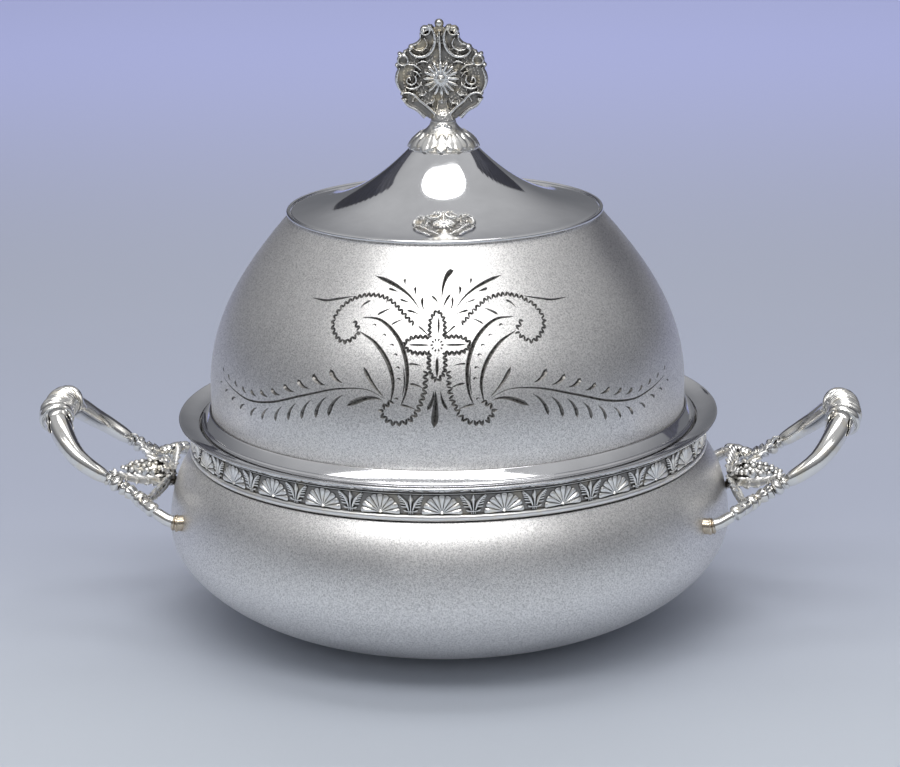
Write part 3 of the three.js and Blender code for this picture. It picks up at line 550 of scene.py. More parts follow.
def curved(points, count):
    """A smooth path of evenly spaced points through a few given ones."""
    points = np.array(points, float)
    ghost = np.vstack([2 * points[0] - points[1], points, 2 * points[-1] - points[-2]])
    path = []
    for a, b, c, d in zip(ghost, ghost[1:], ghost[2:], ghost[3:]):
        before, here, after = (max(np.linalg.norm(q - p), 1e-9) ** 0.5 for p, q in ((a, b), (b, c), (c, d)))
        leave = here * ((b - a) / before - (c - a) / (before + here) + (c - b) / here)
        arrive = here * ((c - b) / here - (d - b) / (here + after) + (d - c) / after)
        t = np.linspace(0, 1, 25)[:-1, None]
        path.append(
            (2 * t ** 3 - 3 * t * t + 1) * b + (t ** 3 - 2 * t * t + t) * leave
            + (3 * t * t - 2 * t ** 3) * c + (t ** 3 - t * t) * arrive
        )
    path = np.vstack([*path, points[-1:]])
    length = walk(path)
    return between(np.linspace(0, length[-1], count), length, path)


# %% Shape the strokes
CUT_BREADTH = 1.3
TOOTH_HALF, TOOTH_SPACING = 0.33, 0.4
PETAL_REACH, PETAL_PITCH = 0.95, 1.56
SPRIG_START = 60
RAYS = 10


def blade(start, halfway, end, half_width, count=9):
    """A cut that grows from a hair to its full width and stops in a round end."""
    start, halfway, end = (np.array(p, float) for p in (start, halfway, end))
    t = np.linspace(0, 1, count)
    lead = (2 * halfway - 0.5 * (start + end)) * (2 * t * (1 - t))[:, None]
    path = (1 - t[:, None]) ** 2 * start + lead + t[:, None] ** 2 * end
    return path, CUT_BREADTH * half_width * np.interp(t, [0, 0.3, 0.75, 0.9, 1], [0.1, 0.5, 1, 0.85, 0.1])


def swelling(points, half_width, spacing=0.9):
    """A cut that is widest halfway."""
    path = curved(points, max(5, round(walk(points)[-1] / spacing)))
    swell = 0.12 + 0.88 * np.sin(np.pi * np.linspace(0, 1, len(path))) ** 0.8
    return path, CUT_BREADTH * half_width * swell


def toothed(points, reach, pitch):
    """Short cuts from side to side of a line, as a rocked graver leaves them."""
    path = curved(points, 400)
    walked = walk(path)
    teeth = 2 * round(walked[-1] / pitch)
    steps = np.linspace(0, walked[-1], teeth + 1)
    at, along = (between(steps, walked, rows) for rows in (path, unit(np.gradient(path, axis=0))))
    corners = at + reach * np.where(np.arange(teeth + 1) % 2, 1, -1)[:, None] * left_of(along)
    ends = [(0.95 * a + 0.05 * b, 0.05 * a + 0.95 * b) for a, b in zip(corners, corners[1:])]
    return [swelling(pair, TOOTH_HALF, TOOTH_SPACING) for pair in ends]


def sprig(side, gap, leans, lengths, half_widths, leaves=11):
    """Leaves on one side of the stem that shrink and lie down towards its end."""
    path = curved(STEM, 300)[SPRIG_START:]
    along = unit(np.gradient(path, axis=0))
    cuts = []
    for t in np.linspace(0, 1, leaves):
        here = round(t * (len(path) - 1))
        onward, beside = along[here], side * np.array([along[here, 1], -along[here, 0]])
        lean, length, half_width = (a + (b - a) * t for a, b in (leans, lengths, half_widths))
        tip = length * (math.cos(lean) * onward + math.sin(lean) * beside)
        start = path[here] + gap * beside
        halfway = start + 0.5 * tip + 0.09 * length * (onward - beside)
        cuts.append(blade(start, halfway, start + tip, half_width))
    return cuts


side_strokes = [blade(c[0:2], c[2:4], c[4:6], c[6]) for c in SIDE_CUTS]
side_strokes += sprig(1, 1.7, (0.8, 0.4), (6.2, 2.0), (0.7, 0.3))
side_strokes += sprig(-1, 1.9, (0.85, 0.6), (8.6, 2.0), (0.55, 0.32))
side_strokes += [swelling(points, half_width) for half_width, points in SIDE_LINES]
for reach, pitch, points in TOOTHED_LINES:
    side_strokes += toothed(points, reach, pitch)
side_strokes += [blade((u - 0.7, v), (u + 0.1, v + 0.5), (u + 0.8, v - 0.1), 0.24, 6) for u, v in PUNCHES]
strokes = [blade(c[0:2], c[2:4], c[4:6], c[6]) for c in MIDDLE_CUTS]
strokes += [swelling(points, half_width) for half_width, points in MIDDLE_LINES]
for across, up in ((1, 0), (0, 1), (-1, 0), (0, -1)):
    for side in (-1, 1):
        edge = [(across * x - side * up * z, up * x + side * across * z) for x, z in PETAL_EDGE]
        strokes += toothed(edge, PETAL_REACH, PETAL_PITCH)
for turn in np.radians(np.arange(0, 360, 360 // RAYS)):
    tip = np.array([math.cos(turn), math.sin(turn)])
    strokes.append(blade(1.1 * tip, 1.6 * tip, 2.2 * tip, 0.27, 5))
hand = np.random.default_rng(11)
for path, half_widths in side_strokes:
    strokes.append((path, half_widths))
    strokes.append((path * (-1, 1) + hand.normal(0, 0.1, 2), half_widths * hand.uniform(0.8, 1.1)))
print("strokes:", len(strokes))

# %% Lay the strokes out on the unrolled dome
FLOWER_ANGLE = math.radians(-88.4)
FLOWER_ARC = 48.86
UNROLLED_RADIUS = 75.0
GRID_CLEARANCE = 0.2


def depth_at(points):
    """How deep inside a stroke each point lies, in mm; negative outside them all."""
    deepest = np.full(len(points), -1.0)
    for path, half in strokes:
        low, high = path.min(axis=0) - 1, path.max(axis=0) + 1
        near = np.nonzero(((points > low) & (points < high)).all(axis=1))[0]
        if len(near) == 0:
            continue
        leg = np.diff(path, axis=0)
        offset = points[near, None] - path[None, :-1]
        t = np.clip((offset * leg).sum(axis=2) / (leg * leg).sum(axis=1), 0, 1)
        gap = np.linalg.norm(offset - leg * t[:, :, None], axis=2)
        deepest[near] = np.maximum(deepest[near], (half[:-1] + np.diff(half) * t - gap).max(axis=1))
    return deepest


walked = walk(dome_outside)
columns = (-1.5 * math.pi + FULL_TURN * np.arange(TURNS + 1) / TURNS - FLOWER_ANGLE) * UNROLLED_RADIUS
sheet = np.array([(u, v) for u in columns for v in walked[1:-1] - FLOWER_ARC])
sheet_points, sheet_edges = [tuple(p) for p in sheet[depth_at(sheet) < -GRID_CLEARANCE]], []
for path, half in strokes:
    side = left_of(unit(np.gradient(path, axis=0))) * half[:, None]
    count, base = len(path), len(sheet_points)
    sheet_points += [tuple(p) for p in np.vstack([path, (path + side)[1:-1], (path - side)[1:-1]])]
    loop = [0, *range(count, 2 * count - 2), count - 1, *reversed(range(2 * count - 2, 3 * count - 4))]
    sheet_edges += [(base + a, base + b) for a, b in zip(loop, loop[1:] + loop[:1])]
    sheet_edges += [(base + i, base + i + 1) for i in range(count - 1)]
laid, _, cells, *_ = geometry.delaunay_2d_cdt(sheet_points, sheet_edges, [], 0, 1e-5, False)
laid = np.array([tuple(p) for p in laid])
cells = [tuple(c) for c in cells]
print("cells on the unrolled dome:", len(cells))

# %% Cut them into the dome
CUT_SLOPE = 0.8
LEAST_CUT = 0.004
CUT, GROUND = 1, 2
rise = unit(np.gradient(dome_outside, axis=0))


def gathered(solids):
    """One list of points and one of faces from many solids."""
    points, faces, used = [], [], 0
    for some_points, some_faces in solids:
        points.append(np.array(some_points, float))
        faces += [[used + i for i in face] for face in some_faces]
        used += len(some_points)
    return np.vstack(points), faces


def on_dome(sheet_places, sunk):
    angle = sheet_places[:, 0] / UNROLLED_RADIUS + FLOWER_ANGLE
    arc = sheet_places[:, 1] + FLOWER_ARC
    (radius, height), (up, out) = (between(arc, walked, rows).T for rows in (dome_outside, rise))
    radius, height = radius - sunk * out, height + sunk * up
    return np.stack([radius * np.cos(angle), radius * np.sin(angle), height], axis=1)


engraved = on_dome(laid, CUT_SLOPE * np.clip(depth_at(laid), 0, None))
front_kinds = np.where(depth_at(laid[np.array(cells)].mean(axis=1)) > LEAST_CUT, CUT, GROUND)
top_row, low_row = (int(np.argmin(np.linalg.norm(dome_profile - dome_outside[i], axis=1))) for i in (-2, 1))
hidden = np.roll(dome_profile, -top_row, axis=0)[: (low_row - top_row) % len(dome_profile) + 1]
rest_points, rest_faces = spun_solid(hidden, TURNS, closed=False)
dome_solid = gathered([(engraved, cells), (rest_points, rest_faces)])
dome = skin("domed_cover", *dome_solid, kinds=np.concatenate([front_kinds, np.zeros(len(rest_faces), int)]))

# %% Keep the ground of the dome smooth and the cuts crisp
def read(items, what, width=1, kind=float):
    """A row of values from every item of a mesh."""
    values = np.zeros(width * len(items), kind)
    items.foreach_get(what, values)
    return values if width == 1 else values.reshape(-1, width)


mesh = dome.data
kinds = read(mesh.polygons, "material_index", kind=int)
mesh.polygons.foreach_set("use_smooth", kinds != CUT)
ground = np.repeat(kinds, read(mesh.polygons, "loop_total", kind=int)) == GROUND
spots = read(mesh.vertices, "co", 3)[read(mesh.loops, "vertex_index", kind=int)][ground]
up, out = between(spots[:, 2] / MM, dome_outside[:, 1], rise).T
reach = np.linalg.norm(spots[:, :2], axis=1)
normals = read(mesh.corner_normals, "vector", 3)
normals[ground] = np.stack([out * spots[:, 0] / reach, out * spots[:, 1] / reach, -up], axis=1)
mesh.polygons.foreach_set("material_index", np.where(kinds == CUT, CUT, 0))
mesh.normals_split_custom_set(normals)
fit(dome, "cover", "cover_dome", "satin_silver", SATIN, GRAVED)

# %% Spin the cap, its bead and the moulding
BEAD_SIDES, BEAD_RADIUS = 14, 0.63
BEAD_MIDDLE = (50.95, 137.82)
cap_slope = bend((50, 138), (33, 140.1), (22, 146.7), (10.5, 158.6), 36)
cap_profile = np.vstack([
    [(46.2, 137.5), (50, 137.5)], cap_slope, [(7.5, 159.9), (2.3, 159.9), (2.3, 158.7), (6.3, 158.7)],
    lining(cap_slope, COVER_WALL),
])
spin("polished_cap", cap_profile, 0.3, "cover", "cover_cap", "polished_silver", MIRROR)

turn = FULL_TURN * (np.arange(BEAD_SIDES) + 0.5) / BEAD_SIDES
bead_profile = BEAD_MIDDLE + BEAD_RADIUS * np.stack([np.cos(turn), np.sin(turn)], axis=1)
spin("bead_wire", bead_profile, 0, "cover", "cap_bead", "polished_silver", MIRROR)

moulding_profile = [
    (78.4, 66.8), (81.6, 66.8), (81.6, 69.1), (81.1, 69.6), (80.7, 69.6),
    (80.9, 69.8), (79.15, 72.15), (78.85, 72.6), (78.4, 72.8),
]
spin("foot_moulding", moulding_profile, 0.5, "cover", "cover_moulding", "polished_silver", MIRROR)

# %% [markdown]
# ## Bars, and parts that repeat
#
# Everything that was cast or rolled here is made of small rounded bars: the flutes of a shell, the lobes
# of a leaf, the band of a scroll. One helper sweeps an oval along a path and closes its ends. What
# repeats round an axis is placed by Geometry Nodes, which turn copies of one part and give them their
# material.

# %% Sweep a bar along a path
def frames(path, over):
    """Directions along a path, across it and up from it, where up is as near to over as it can be."""
    along = unit(np.gradient(path, axis=0))
    over = np.broadcast_to(np.array(over, float), path.shape)
    up = unit(over - (over * along).sum(axis=1, keepdims=True) * along)
    return along, np.cross(along, up), up


def hoops(loops, closed=False):
    """Faces of a skin that runs through loops of as many points each."""
    count, sides = loops.shape[:2]
    here = np.arange(count * sides).reshape(count, sides)
    after = np.roll(here, -1, axis=0)
    quads = np.stack([here, np.roll(here, -1, axis=1), np.roll(after, -1, axis=1), after], axis=-1)
    return quads[:count if closed else -1].reshape(-1, 4).tolist()


def capped(loops, first, last):
    """A skin through loops, closed by a point at each end."""
    count, sides = loops.shape[:2]
    faces, row = hoops(loops), (count - 1) * sides
    for j in range(sides):
        k = (j + 1) % sides
        faces += [[k, j, count * sides], [row + j, row + k, count * sides + 1]]
    return np.vstack([loops.reshape(-1, 3), first, last]), faces


def swept(path, wide, high, over=(0, -1, 0), sides=8, below=None):
    """A closed oval bar: its half width and half height are given along the path."""
    path = np.array(path, float)
    below = high if below is None else below
    wide, high, below = (np.broadcast_to(np.array(x, float), len(path))[:, None] for x in (wide, high, below))
    _, across, up = frames(path, over)
    turn = FULL_TURN * (np.arange(sides) + 0.5) / sides
    side, rise = np.cos(turn), np.sin(turn)
    lift = np.where(rise > 0, high * rise, below * rise)
    loops = path[:, None] + across[:, None] * (wide * side)[..., None] + up[:, None] * lift[..., None]
    return capped(loops, path[0], path[-1])


# %% Repeat a part round an axis with Geometry Nodes
def realized(tree, copies, material):
    real = node(tree, "GeometryNodeRealizeInstances", {0: copies}).outputs[0]
    return node(tree, "GeometryNodeSetMaterial", {"Geometry": real, "Material": material}).outputs[0]


ring_tree, ring_in, ring_out = new_group(
    "ring_of_parts", "GeometryNodeTree",
    {"Part": "Object", "Count": "Int", "First angle": "Float", "Axis": "Vector", "Material": "Material"},
    {"Geometry": "Geometry"},
)
number = node(ring_tree, "GeometryNodeInputIndex").outputs[0]
step = sums(ring_tree, "DIVIDE", FULL_TURN, ring_in["Count"])
angle = sums(ring_tree, "MULTIPLY_ADD", number, step, ring_in["First angle"])
copies = node(ring_tree, "GeometryNodeInstanceOnPoints", {
    "Points": node(ring_tree, "GeometryNodePoints", {"Count": ring_in["Count"]}).outputs[0],
    "Instance": node(ring_tree, "GeometryNodeObjectInfo", {"Object": ring_in["Part"]}).outputs["Geometry"],
    "Rotation": node(
        ring_tree, "FunctionNodeAxisAngleToRotation", {"Axis": ring_in["Axis"], "Angle": angle},
    ).outputs[0],
}).outputs[0]
plug(ring_tree, ring_out["Geometry"], realized(ring_tree, copies, ring_in["Material"]))


def evaluated_mesh(piece):
    return bpy.data.meshes.new_from_object(piece.evaluated_get(bpy.context.evaluated_depsgraph_get()))


def made_plain(piece):
    """The piece with what its modifiers make as its own mesh."""
    mesh = evaluated_mesh(piece)
    piece.modifiers.clear()
    piece.data = mesh
    mesh.name = piece.name
    return piece


def grown(name, tree, inputs):
    """A plain mesh object from a Geometry Nodes tree with its inputs filled."""
    carrier = put(name, bpy.data.meshes.new(name))
    repeat = carrier.modifiers.new("repeat", "NODES")
    repeat.node_group = tree
    for item in tree.interface.items_tree:
        if item.in_out == "INPUT":
            repeat[item.identifier] = inputs[item.name]
    return made_plain(carrier)


def ringed(name, part, count, first_angle, material):
    """Copies of a part round the Z axis."""
    made = grown(name, ring_tree, {
        "Part": part, "Count": count, "First angle": first_angle, "Axis": (0, 0, 1), "Material": material,
    })
    bpy.data.objects.remove(part)
    return made


# %% [markdown]
# ## Tarnish, painted shade and wear
#
# On old plate the hollows of the ornament go dark with tarnish, and the high places are rubbed bright, in
# spots down to the warm metal under the silver. Ambient occlusion finds the hollows and darkens their colour,
# which paints in the shade that falls there as well as the tarnish, and a slow noise chooses the worn spots.
# Border and castings share the effect, so it is a second node group.

# %% Build the tarnish and painted shade as a group
USUAL_TARNISH_AND_SHADE = {
    "Bright": rgb(0.87, 0.86, 0.83), "Tarnish": rgb(0.08, 0.07, 0.06), "Worn": rgb(0.83, 0.72, 0.5),
    "Reach": 0.0012, "Wear": 0.3,
}
tarnish_and_shade_group, tarnish_and_shade_in, tarnish_and_shade_out = new_group(
    "tarnish_in_hollows", "ShaderNodeTree",
    {"Bright": "Color", "Tarnish": "Color", "Worn": "Color", "Reach": "Float", "Wear": "Float"},
    {"Color": "Color", "Hollow": "Float"},
)
patches = noise(tarnish_and_shade_group, 230.0, 3.0)
# Ambient occlusion darkens the colour in the hollows: the tarnish there, and painted shade where they are
# shaded.
shelter = sums(tarnish_and_shade_group, "SUBTRACT", sheltered(tarnish_and_shade_group, tarnish_and_shade_in["Reach"]), 0.15)
uneven = sums(tarnish_and_shade_group, "MULTIPLY_ADD", patches, 0.3, shelter)
open_face = spread(tarnish_and_shade_group, uneven, 0.38, 0.82)
worn = sums(tarnish_and_shade_group, "MULTIPLY", spread(tarnish_and_shade_group, patches, 0.52, 0.66), tarnish_and_shade_in["Wear"])
face = blend_colors(tarnish_and_shade_group, worn, tarnish_and_shade_in["Bright"], tarnish_and_shade_in["Worn"])
plug(tarnish_and_shade_group, tarnish_and_shade_out["Color"], blend_colors(tarnish_and_shade_group, open_face, tarnish_and_shade_in["Tarnish"], face))
plug(tarnish_and_shade_group, tarnish_and_shade_out["Hollow"], sums(tarnish_and_shade_group, "SUBTRACT", 1.0, open_face))


def tarnish_and_shade(tree, sockets, inputs, pits, detail, strength, depth):
    """Colours a finish, with tarnish and painted shade in its hollows, pits it, and gives back how deep in a
    hollow it lies.
    """
    outputs = use_group(tree, tarnish_and_shade_group, {**USUAL_TARNISH_AND_SHADE, **inputs})
    plug(tree, sockets["Base Color"], outputs["Color"])
    plug(tree, sockets["Normal"], bump(tree, noise(tree, pits, detail), strength, depth))
    return outputs["Hollow"]


# %% Mix the cast finish
def cast_silver(name, roughness, inputs):
    material, tree, sockets = new_material(name, roughness)
    hollow = tarnish_and_shade(tree, sockets, inputs, 900.0, 3.0, 0.35, 0.00003)
    plug(tree, sockets["Roughness"], spread(tree, hollow, 0.0, 1.0, roughness, roughness + 0.25))
    return material


# The Tarnish colours darken the hollows of each casting: tarnish, and painted shade.
CAST = cast_silver("cast_plate", 0.3, {"Wear": 0.35, "Tarnish": rgb(0.045, 0.038, 0.03), "Reach": 0.0022})
BAR = cast_silver("handle_plate", 0.12, {"Tarnish": rgb(0.07, 0.055, 0.04), "Reach": 0.0013})
BRASS = cast_silver("bare_brass", 0.2, {
    "Bright": rgb(0.63, 0.54, 0.42), "Worn": rgb(0.74, 0.68, 0.57), "Tarnish": rgb(0.13, 0.09, 0.06),
    "Wear": 0.8,
})
print("cast finishes:", CAST.name, BAR.name, BRASS.name)

# %% [markdown]
# ## Border
#
# The border is a strip rolled between dies, bent round the neck and soldered: a bead below, then shells
# that alternate with lilies on a dark ground. One shell and one lily are made of bars on the flat, bent
# onto the strip, and repeated twenty-eight times.

# %% Spin the strip
STRIP_RADIUS = 84.8
STRIP_BASE = 60.8
STRIP_FIRST = math.radians(2.5)
MOTIF_PAIRS = 28
bead_arc = np.radians(np.linspace(-62, 62, 9))
strip_profile = np.vstack([
    [(83.7, 58.55), (84.9, 58.55)],
    np.stack([84.85 + 0.8 * np.cos(bead_arc), 59.65 + 1.0 * np.sin(bead_arc)], axis=1),
    [(84.75, 60.75), (84.55, 60.9), (84.8, 61.1), (84.8, 66.85), (84.55, 66.95), (85.05, 67.15)],
    [(85.05, 67.48), (83.7, 67.48)],
])


def rolled_silver(name, ground, relief):
    """The ground is matted and dark, and the relief above it is bright."""
    material, tree, sockets = new_material(name)
    inputs = {0: place_in(tree), 1: (1, 1, 0)}
    across = node(tree, "ShaderNodeVectorMath", inputs, operation="MULTIPLY").outputs[0]
    radius = node(tree, "ShaderNodeVectorMath", {0: across}, operation="LENGTH").outputs["Value"]
    raised = spread(tree, radius, MM * (STRIP_RADIUS + 0.1), MM * (STRIP_RADIUS + 0.4))
    inputs = {"Bright": blend_colors(tree, raised, ground, relief), "Wear": 0.2, "Reach": 0.0008}
    tarnish_and_shade(tree, sockets, inputs, 1500.0, 1.0, 0.5, 0.00004)
    plug(tree, sockets["Roughness"], spread(tree, raised, 0.0, 1.0, 0.5, 0.3))
    return material


ROLLED = rolled_silver("rolled_plate", rgb(0.3, 0.29, 0.275), rgb(0.96, 0.95, 0.92))
spin("border_strip", strip_profile, 0.12, "dish", "border_band", "oxidised_silver", ROLLED)

# %% Repeat a flat motif round the strip
def motifs(name, solids, first_angle):
    """Flat x goes round the neck, flat z goes up, and what stands towards -Y stands out."""
    points, faces = gathered(solids)
    angle = points[:, 0] / STRIP_RADIUS
    radius = STRIP_RADIUS - points[:, 1]
    placed = np.stack([radius * np.sin(angle), -radius * np.cos(angle), STRIP_BASE + points[:, 2]], axis=1)
    made = ringed(name, skin("one_motif", placed, faces), MOTIF_PAIRS, first_angle, ROLLED)
    fit(made, "dish", "border_band", "oxidised_silver")


def flat_bar(points, wide, high):
    return swept([(x, 0, z) for x, z in points], wide, high, below=0.2)


# %% Make the shells
SHELL_HALF, SHELL_HEIGHT, SHELL_FLUTES, SHELL_RELIEF = 6.5, 6.3, 9, 0.72
FLUTE_RUN = np.array([0.06, 0.25, 0.5, 0.75, 0.9, 0.97, 1.0])
FLUTE_WIDE = np.array([0.03, 0.057, 0.093, 0.13, 0.146, 0.125, 0.06])
FLUTE_HIGH = np.array([0.45, 0.6, 0.85, 1.0, 0.95, 0.7, 0.25])

shell = []
for direction in np.radians(np.linspace(4, 176, SHELL_FLUTES)):
    way = np.array([math.cos(direction), math.sin(direction)])
    reach = 0.97 / math.hypot(way[0] / SHELL_HALF, way[1] / SHELL_HEIGHT) - 0.05 * SHELL_HEIGHT * way[1]
    path = np.array([0, 0.07 * SHELL_HEIGHT]) + way * reach * FLUTE_RUN[:, None]
    shell.append(flat_bar(path, FLUTE_WIDE * SHELL_HALF, FLUTE_HIGH * SHELL_RELIEF))
hub = [(0, -0.1, up * SHELL_HEIGHT) for up in (0.0, 0.1, 0.2)]
shell.append(swept(hub, [0.04 * SHELL_HALF, 0.12 * SHELL_HALF, 0.04 * SHELL_HALF], [0.2, SHELL_RELIEF, 0.2]))
motifs("border_shells", shell, STRIP_FIRST)

# %% Make the lilies
LILY_LEAF = [(0.6, 1.3), (0.95, 2.5), (1.65, 4.0), (2.75, 5.3), (3.8, 6.2)]
LILY_TEETH = [
    (1.1, 2.4, 3.1, 2.5), (1.4, 3.2, 3.3, 3.5), (1.8, 3.9, 3.6, 4.4), (2.4, 4.6, 3.85, 5.15),
    (3.0, 5.3, 4.1, 5.8),
]

heart = [(0, z) for z in (1.1, 2.0, 3.4, 4.6, 5.6, 6.35)]
lily = [flat_bar(heart, [0.3, 0.3, 0.5, 0.8, 0.5, 0.08], 0.72)]
for side in (-1, 1):
    leaf_path = curved([(side * x, z) for x, z in LILY_LEAF], 9)
    lily.append(flat_bar(leaf_path, [0.3, 0.45, 0.58, 0.6, 0.56, 0.5, 0.42, 0.32, 0.12], 0.7))
    for x, z, tip_x, tip_z in LILY_TEETH:
        tooth = [(side * (x + (tip_x - x) * t), z + (tip_z - z) * t) for t in (0, 0.4, 0.8, 1)]
        lily.append(flat_bar(tooth, [0.3, 0.36, 0.36, 0.14], [0.5, 0.62, 0.55, 0.25]))
    lily.append(flat_bar([(side * 1.2, 1.05), (side * 1.75, 1.2), (side * 2.2, 1.45)], [0.2, 0.5, 0.2], 0.7))
    lily.append(flat_bar([(side * 0.6, 0.1), (side * 0.45, 0.9)], 0.2, 0.5))
lily.append(flat_bar([(-1.6, 1.05), (0, 0.95), (1.6, 1.05)], 0.3, 0.68))
lily.append(flat_bar([(0, 0.05), (0, 0.9)], 0.2, 0.5))
motifs("border_lilies", lily, STRIP_FIRST + math.pi / MOTIF_PAIRS)

# %% [markdown]
# ## Drainer
#
# The drainer is a flat plate with two rings of pointed slots and a hole for a finger, so it is drawn as
# a flat curve, filled with its holes, and given its thickness and soft edges.

# %% Saw the drainer
DRAINER_RADIUS, DRAINER_MIDDLE, DRAINER_HALF = 68.5, 60.4, 0.6
DRAINER_EDGE = 0.15
FINGER_HOLE_RADIUS = 9.2
SLOT_SHAPE = [(0, 0), (0.12, 0.8), (0.5, 1), (0.88, 0.8), (1, 0), (0.88, -0.8), (0.5, -1), (0.12, -0.8)]
SLOT_HALF = 1.6
SLOT_RINGS = ((18, 35.3, 8), (39.8, 59.5, 16))


def sawn_slot(inner, outer, angle):
    """A slot with pointed ends, as closed corners in the plate's plane."""
    way, side = np.array([math.cos(angle), math.sin(angle)]), np.array([-math.sin(angle), math.cos(angle)])
    return [way * (inner + (outer - inner) * t) + side * SLOT_HALF * s for t, s in SLOT_SHAPE]


def circle(radius, corners):
    turn = FULL_TURN * np.arange(corners) / corners
    return np.stack([radius * np.cos(turn), radius * np.sin(turn)], axis=1)


def solid_of(mesh):
    """Points in mm and faces of a mesh."""
    return read(mesh.vertices, "co", 3) / MM, [list(p.vertices) for p in mesh.polygons]


outlines = [circle(DRAINER_RADIUS - 0.2, TURNS), circle(FINGER_HOLE_RADIUS, 48)]
for inner, outer, count in SLOT_RINGS:
    outlines += [sawn_slot(inner, outer, FULL_TURN * i / count) for i in range(count)]
drawing = bpy.data.curves.new("pierced_drainer", "CURVE")
drawing.dimensions = "2D"
drawing.fill_mode = "BOTH"
drawing.extrude = MM * (DRAINER_HALF - DRAINER_EDGE)
drawing.bevel_depth = MM * DRAINER_EDGE
drawing.bevel_resolution = 1
for outline in outlines:
    spline = drawing.splines.new("POLY")
    spline.points.add(len(outline) - 1)
    spline.use_cyclic_u = True
    for point, (x, y) in zip(spline.points, outline):
        point.co = (MM * x, MM * y, 0, 1)
drawn = put("drawing", drawing)
plate_points, plate_faces = solid_of(evaluated_mesh(drawn))
bpy.data.objects.remove(drawn)
plate_points += (0, 0, DRAINER_MIDDLE)
plate = skin("pierced_drainer_plate", plate_points, plate_faces, crease=math.radians(12))
fit(plate, "drainer", "drainer_plate", "polished_silver", MIRROR)

# %% [markdown]
# ## Handles
#
# Each handle is two cast arms that run out from the bowl on one closed curve and meet inside a reeded
# sleeve. Everything on a handle is drawn along that curve: a list of lengths from its start and radii
# gives the turned rings, the swell of the arm and the reeds. The front half of the right handle is made,
# its rear half is the mirror image, and the left handle is the right one turned half round.

# %% Draw the curve of the handle
HANDLE_POINTS = 621
half_handle = [
    (81.8, -36.5, 41.7), (87.4, -36.5, 41.7), (94.7, -34.3, 45.5),
    (102.3, -23.7, 47.2), (120.6, -21.4, 58.9), (129.7, -8.6, 69.2),
]
far_half = [(x, -y, z) for x, y, z in reversed(half_handle)]
handle_curve = curved([*half_handle, (130.5, 0, 69.2), *far_half], HANDLE_POINTS)
handle_length = walk(handle_curve)[-1]
handle_stations = np.linspace(0, handle_length, len(handle_curve))
print(f"handle curve: {handle_length:.1f} mm")


def round_handle(lengths, radii, turn):
    """Points beside the handle's curve, turned round it from its outer side, and the way they face."""
    before, here, after = (between(lengths + step, handle_stations, handle_curve) for step in (-0.2, 0, 0.2))
    tangent = unit(after - before)
    across = unit(np.cross(tangent, (0, 0, 1)))
    up = np.cross(across, tangent)
    way = np.cos(turn)[..., None] * across[:, None] + np.sin(turn)[..., None] * up[:, None]
    return here[:, None] + radii[..., None] * way, way


def clear_of_bowl(solid, sunk=0.5):
    """Points that would stand inside the bowl are drawn out to just under its skin."""
    points, faces = np.array(solid[0], float), solid[1]
    reach = np.hypot(points[:, 0], points[:, 1])
    least = np.interp(points[:, 2], bowl_outside[:, 1], bowl_outside[:, 0]) - sunk
    points[:, :2] *= (np.maximum(reach, least) / np.maximum(reach, 1))[:, None]
    return points, faces


def mirrored(solid, way=(1, -1, 1)):
    return np.array(solid[0]) * way, [face[::-1] for face in solid[1]]


# %% Turn a section round the curve
def handle_loops(lengths, radii, sides):
    turn = FULL_TURN * np.arange(sides) / sides
    radii = radii[:, None] * np.ones(sides) if radii.ndim == 1 else radii
    return round_handle(lengths, radii, turn[None, :])[0]


def turned_bar(lengths, radii, sides=24):
    """A closed bar round the handle's curve, with one radius at each length or one for each side."""
    loops = handle_loops(lengths, radii, sides)
    return capped(loops, loops[0].mean(axis=0), loops[-1].mean(axis=0))


def turned_ring(profile, sides=40):
    """A hollow ring round the handle's curve, from a closed list of lengths and radii."""
    loops = handle_loops(*np.array(profile, float).T, sides)
    return loops.reshape(-1, 3), hoops(loops, closed=True)


def fit_both(name, solids, stands_for, slot, material, end="front", other_end="rear"):
    """A piece of the right handle, and the same piece turned half round for the left."""
    points, faces = gathered(solids)
    for side, turn, here in (("right", 1, end), ("left", -1, other_end)):
        made = skin(f"{side}_{name.format(end=here)}", points * (turn, turn, 1), faces)
        fit(made, "dish", f"{side}_{stands_for.format(end=here)}", slot, material)


def fit_four(name, solids, *fitting):
    """A piece of the front arms, and its mirror image for the rear ones."""
    fit_both(name, solids, *fitting)
    fit_both(name, map(mirrored, solids), *fitting, "rear", "front")


# %% Cast the arms
ARM_ROOT = [(0.5, 2.1), (3, 2.15), (5, 2.15), (8, 2.0), (11.6, 1.9), (11.9, 1.6), (12.5, 1.55), (12.8, 1.9)]
ARM_RINGS = [
    (13.1, 2.35), (13.7, 2.5), (14.4, 2.4), (15, 2.2), (15.6, 2.2), (15.9, 1.95), (16.3, 1.95), (16.6, 2.25),
    (18, 2.4), (19.5, 2.3), (20.4, 2.1), (20.7, 1.75), (21.3, 1.7), (21.6, 2.2), (22.3, 2.6), (23.1, 2.6),
    (23.8, 2.2), (24.1, 1.75), (24.7, 1.7), (24.9, 2.1), (25.4, 2.35), (25.9, 2.1), (26.1, 1.75), (27, 1.65),
    (32.2, 1.7), (32.7, 1.6), (33, 2.0), (33.6, 2.6), (34.4, 2.85), (35.2, 2.6), (35.8, 2.0), (36, 1.7),
    (36.5, 1.7), (36.7, 2.1), (37.2, 2.3), (37.7, 2.1), (37.9, 1.85),
]
ARM_SWELL = [
    (38.3, 2.05), (39.5, 2.35), (41, 2.6), (43, 2.75), (45, 2.85), (47.5, 2.98), (50, 3.1), (52.5, 3.27),
    (55, 3.45), (57.5, 3.62), (60, 3.75), (63, 3.8), (66, 3.84), (68, 3.84), (72, 3.82), (76.5, 3.8),
]
BRACT_LENGTH, BRACT_RADIUS, BRACT_FLARE, PETALS = 3.0, 1.65, 0.95, 5


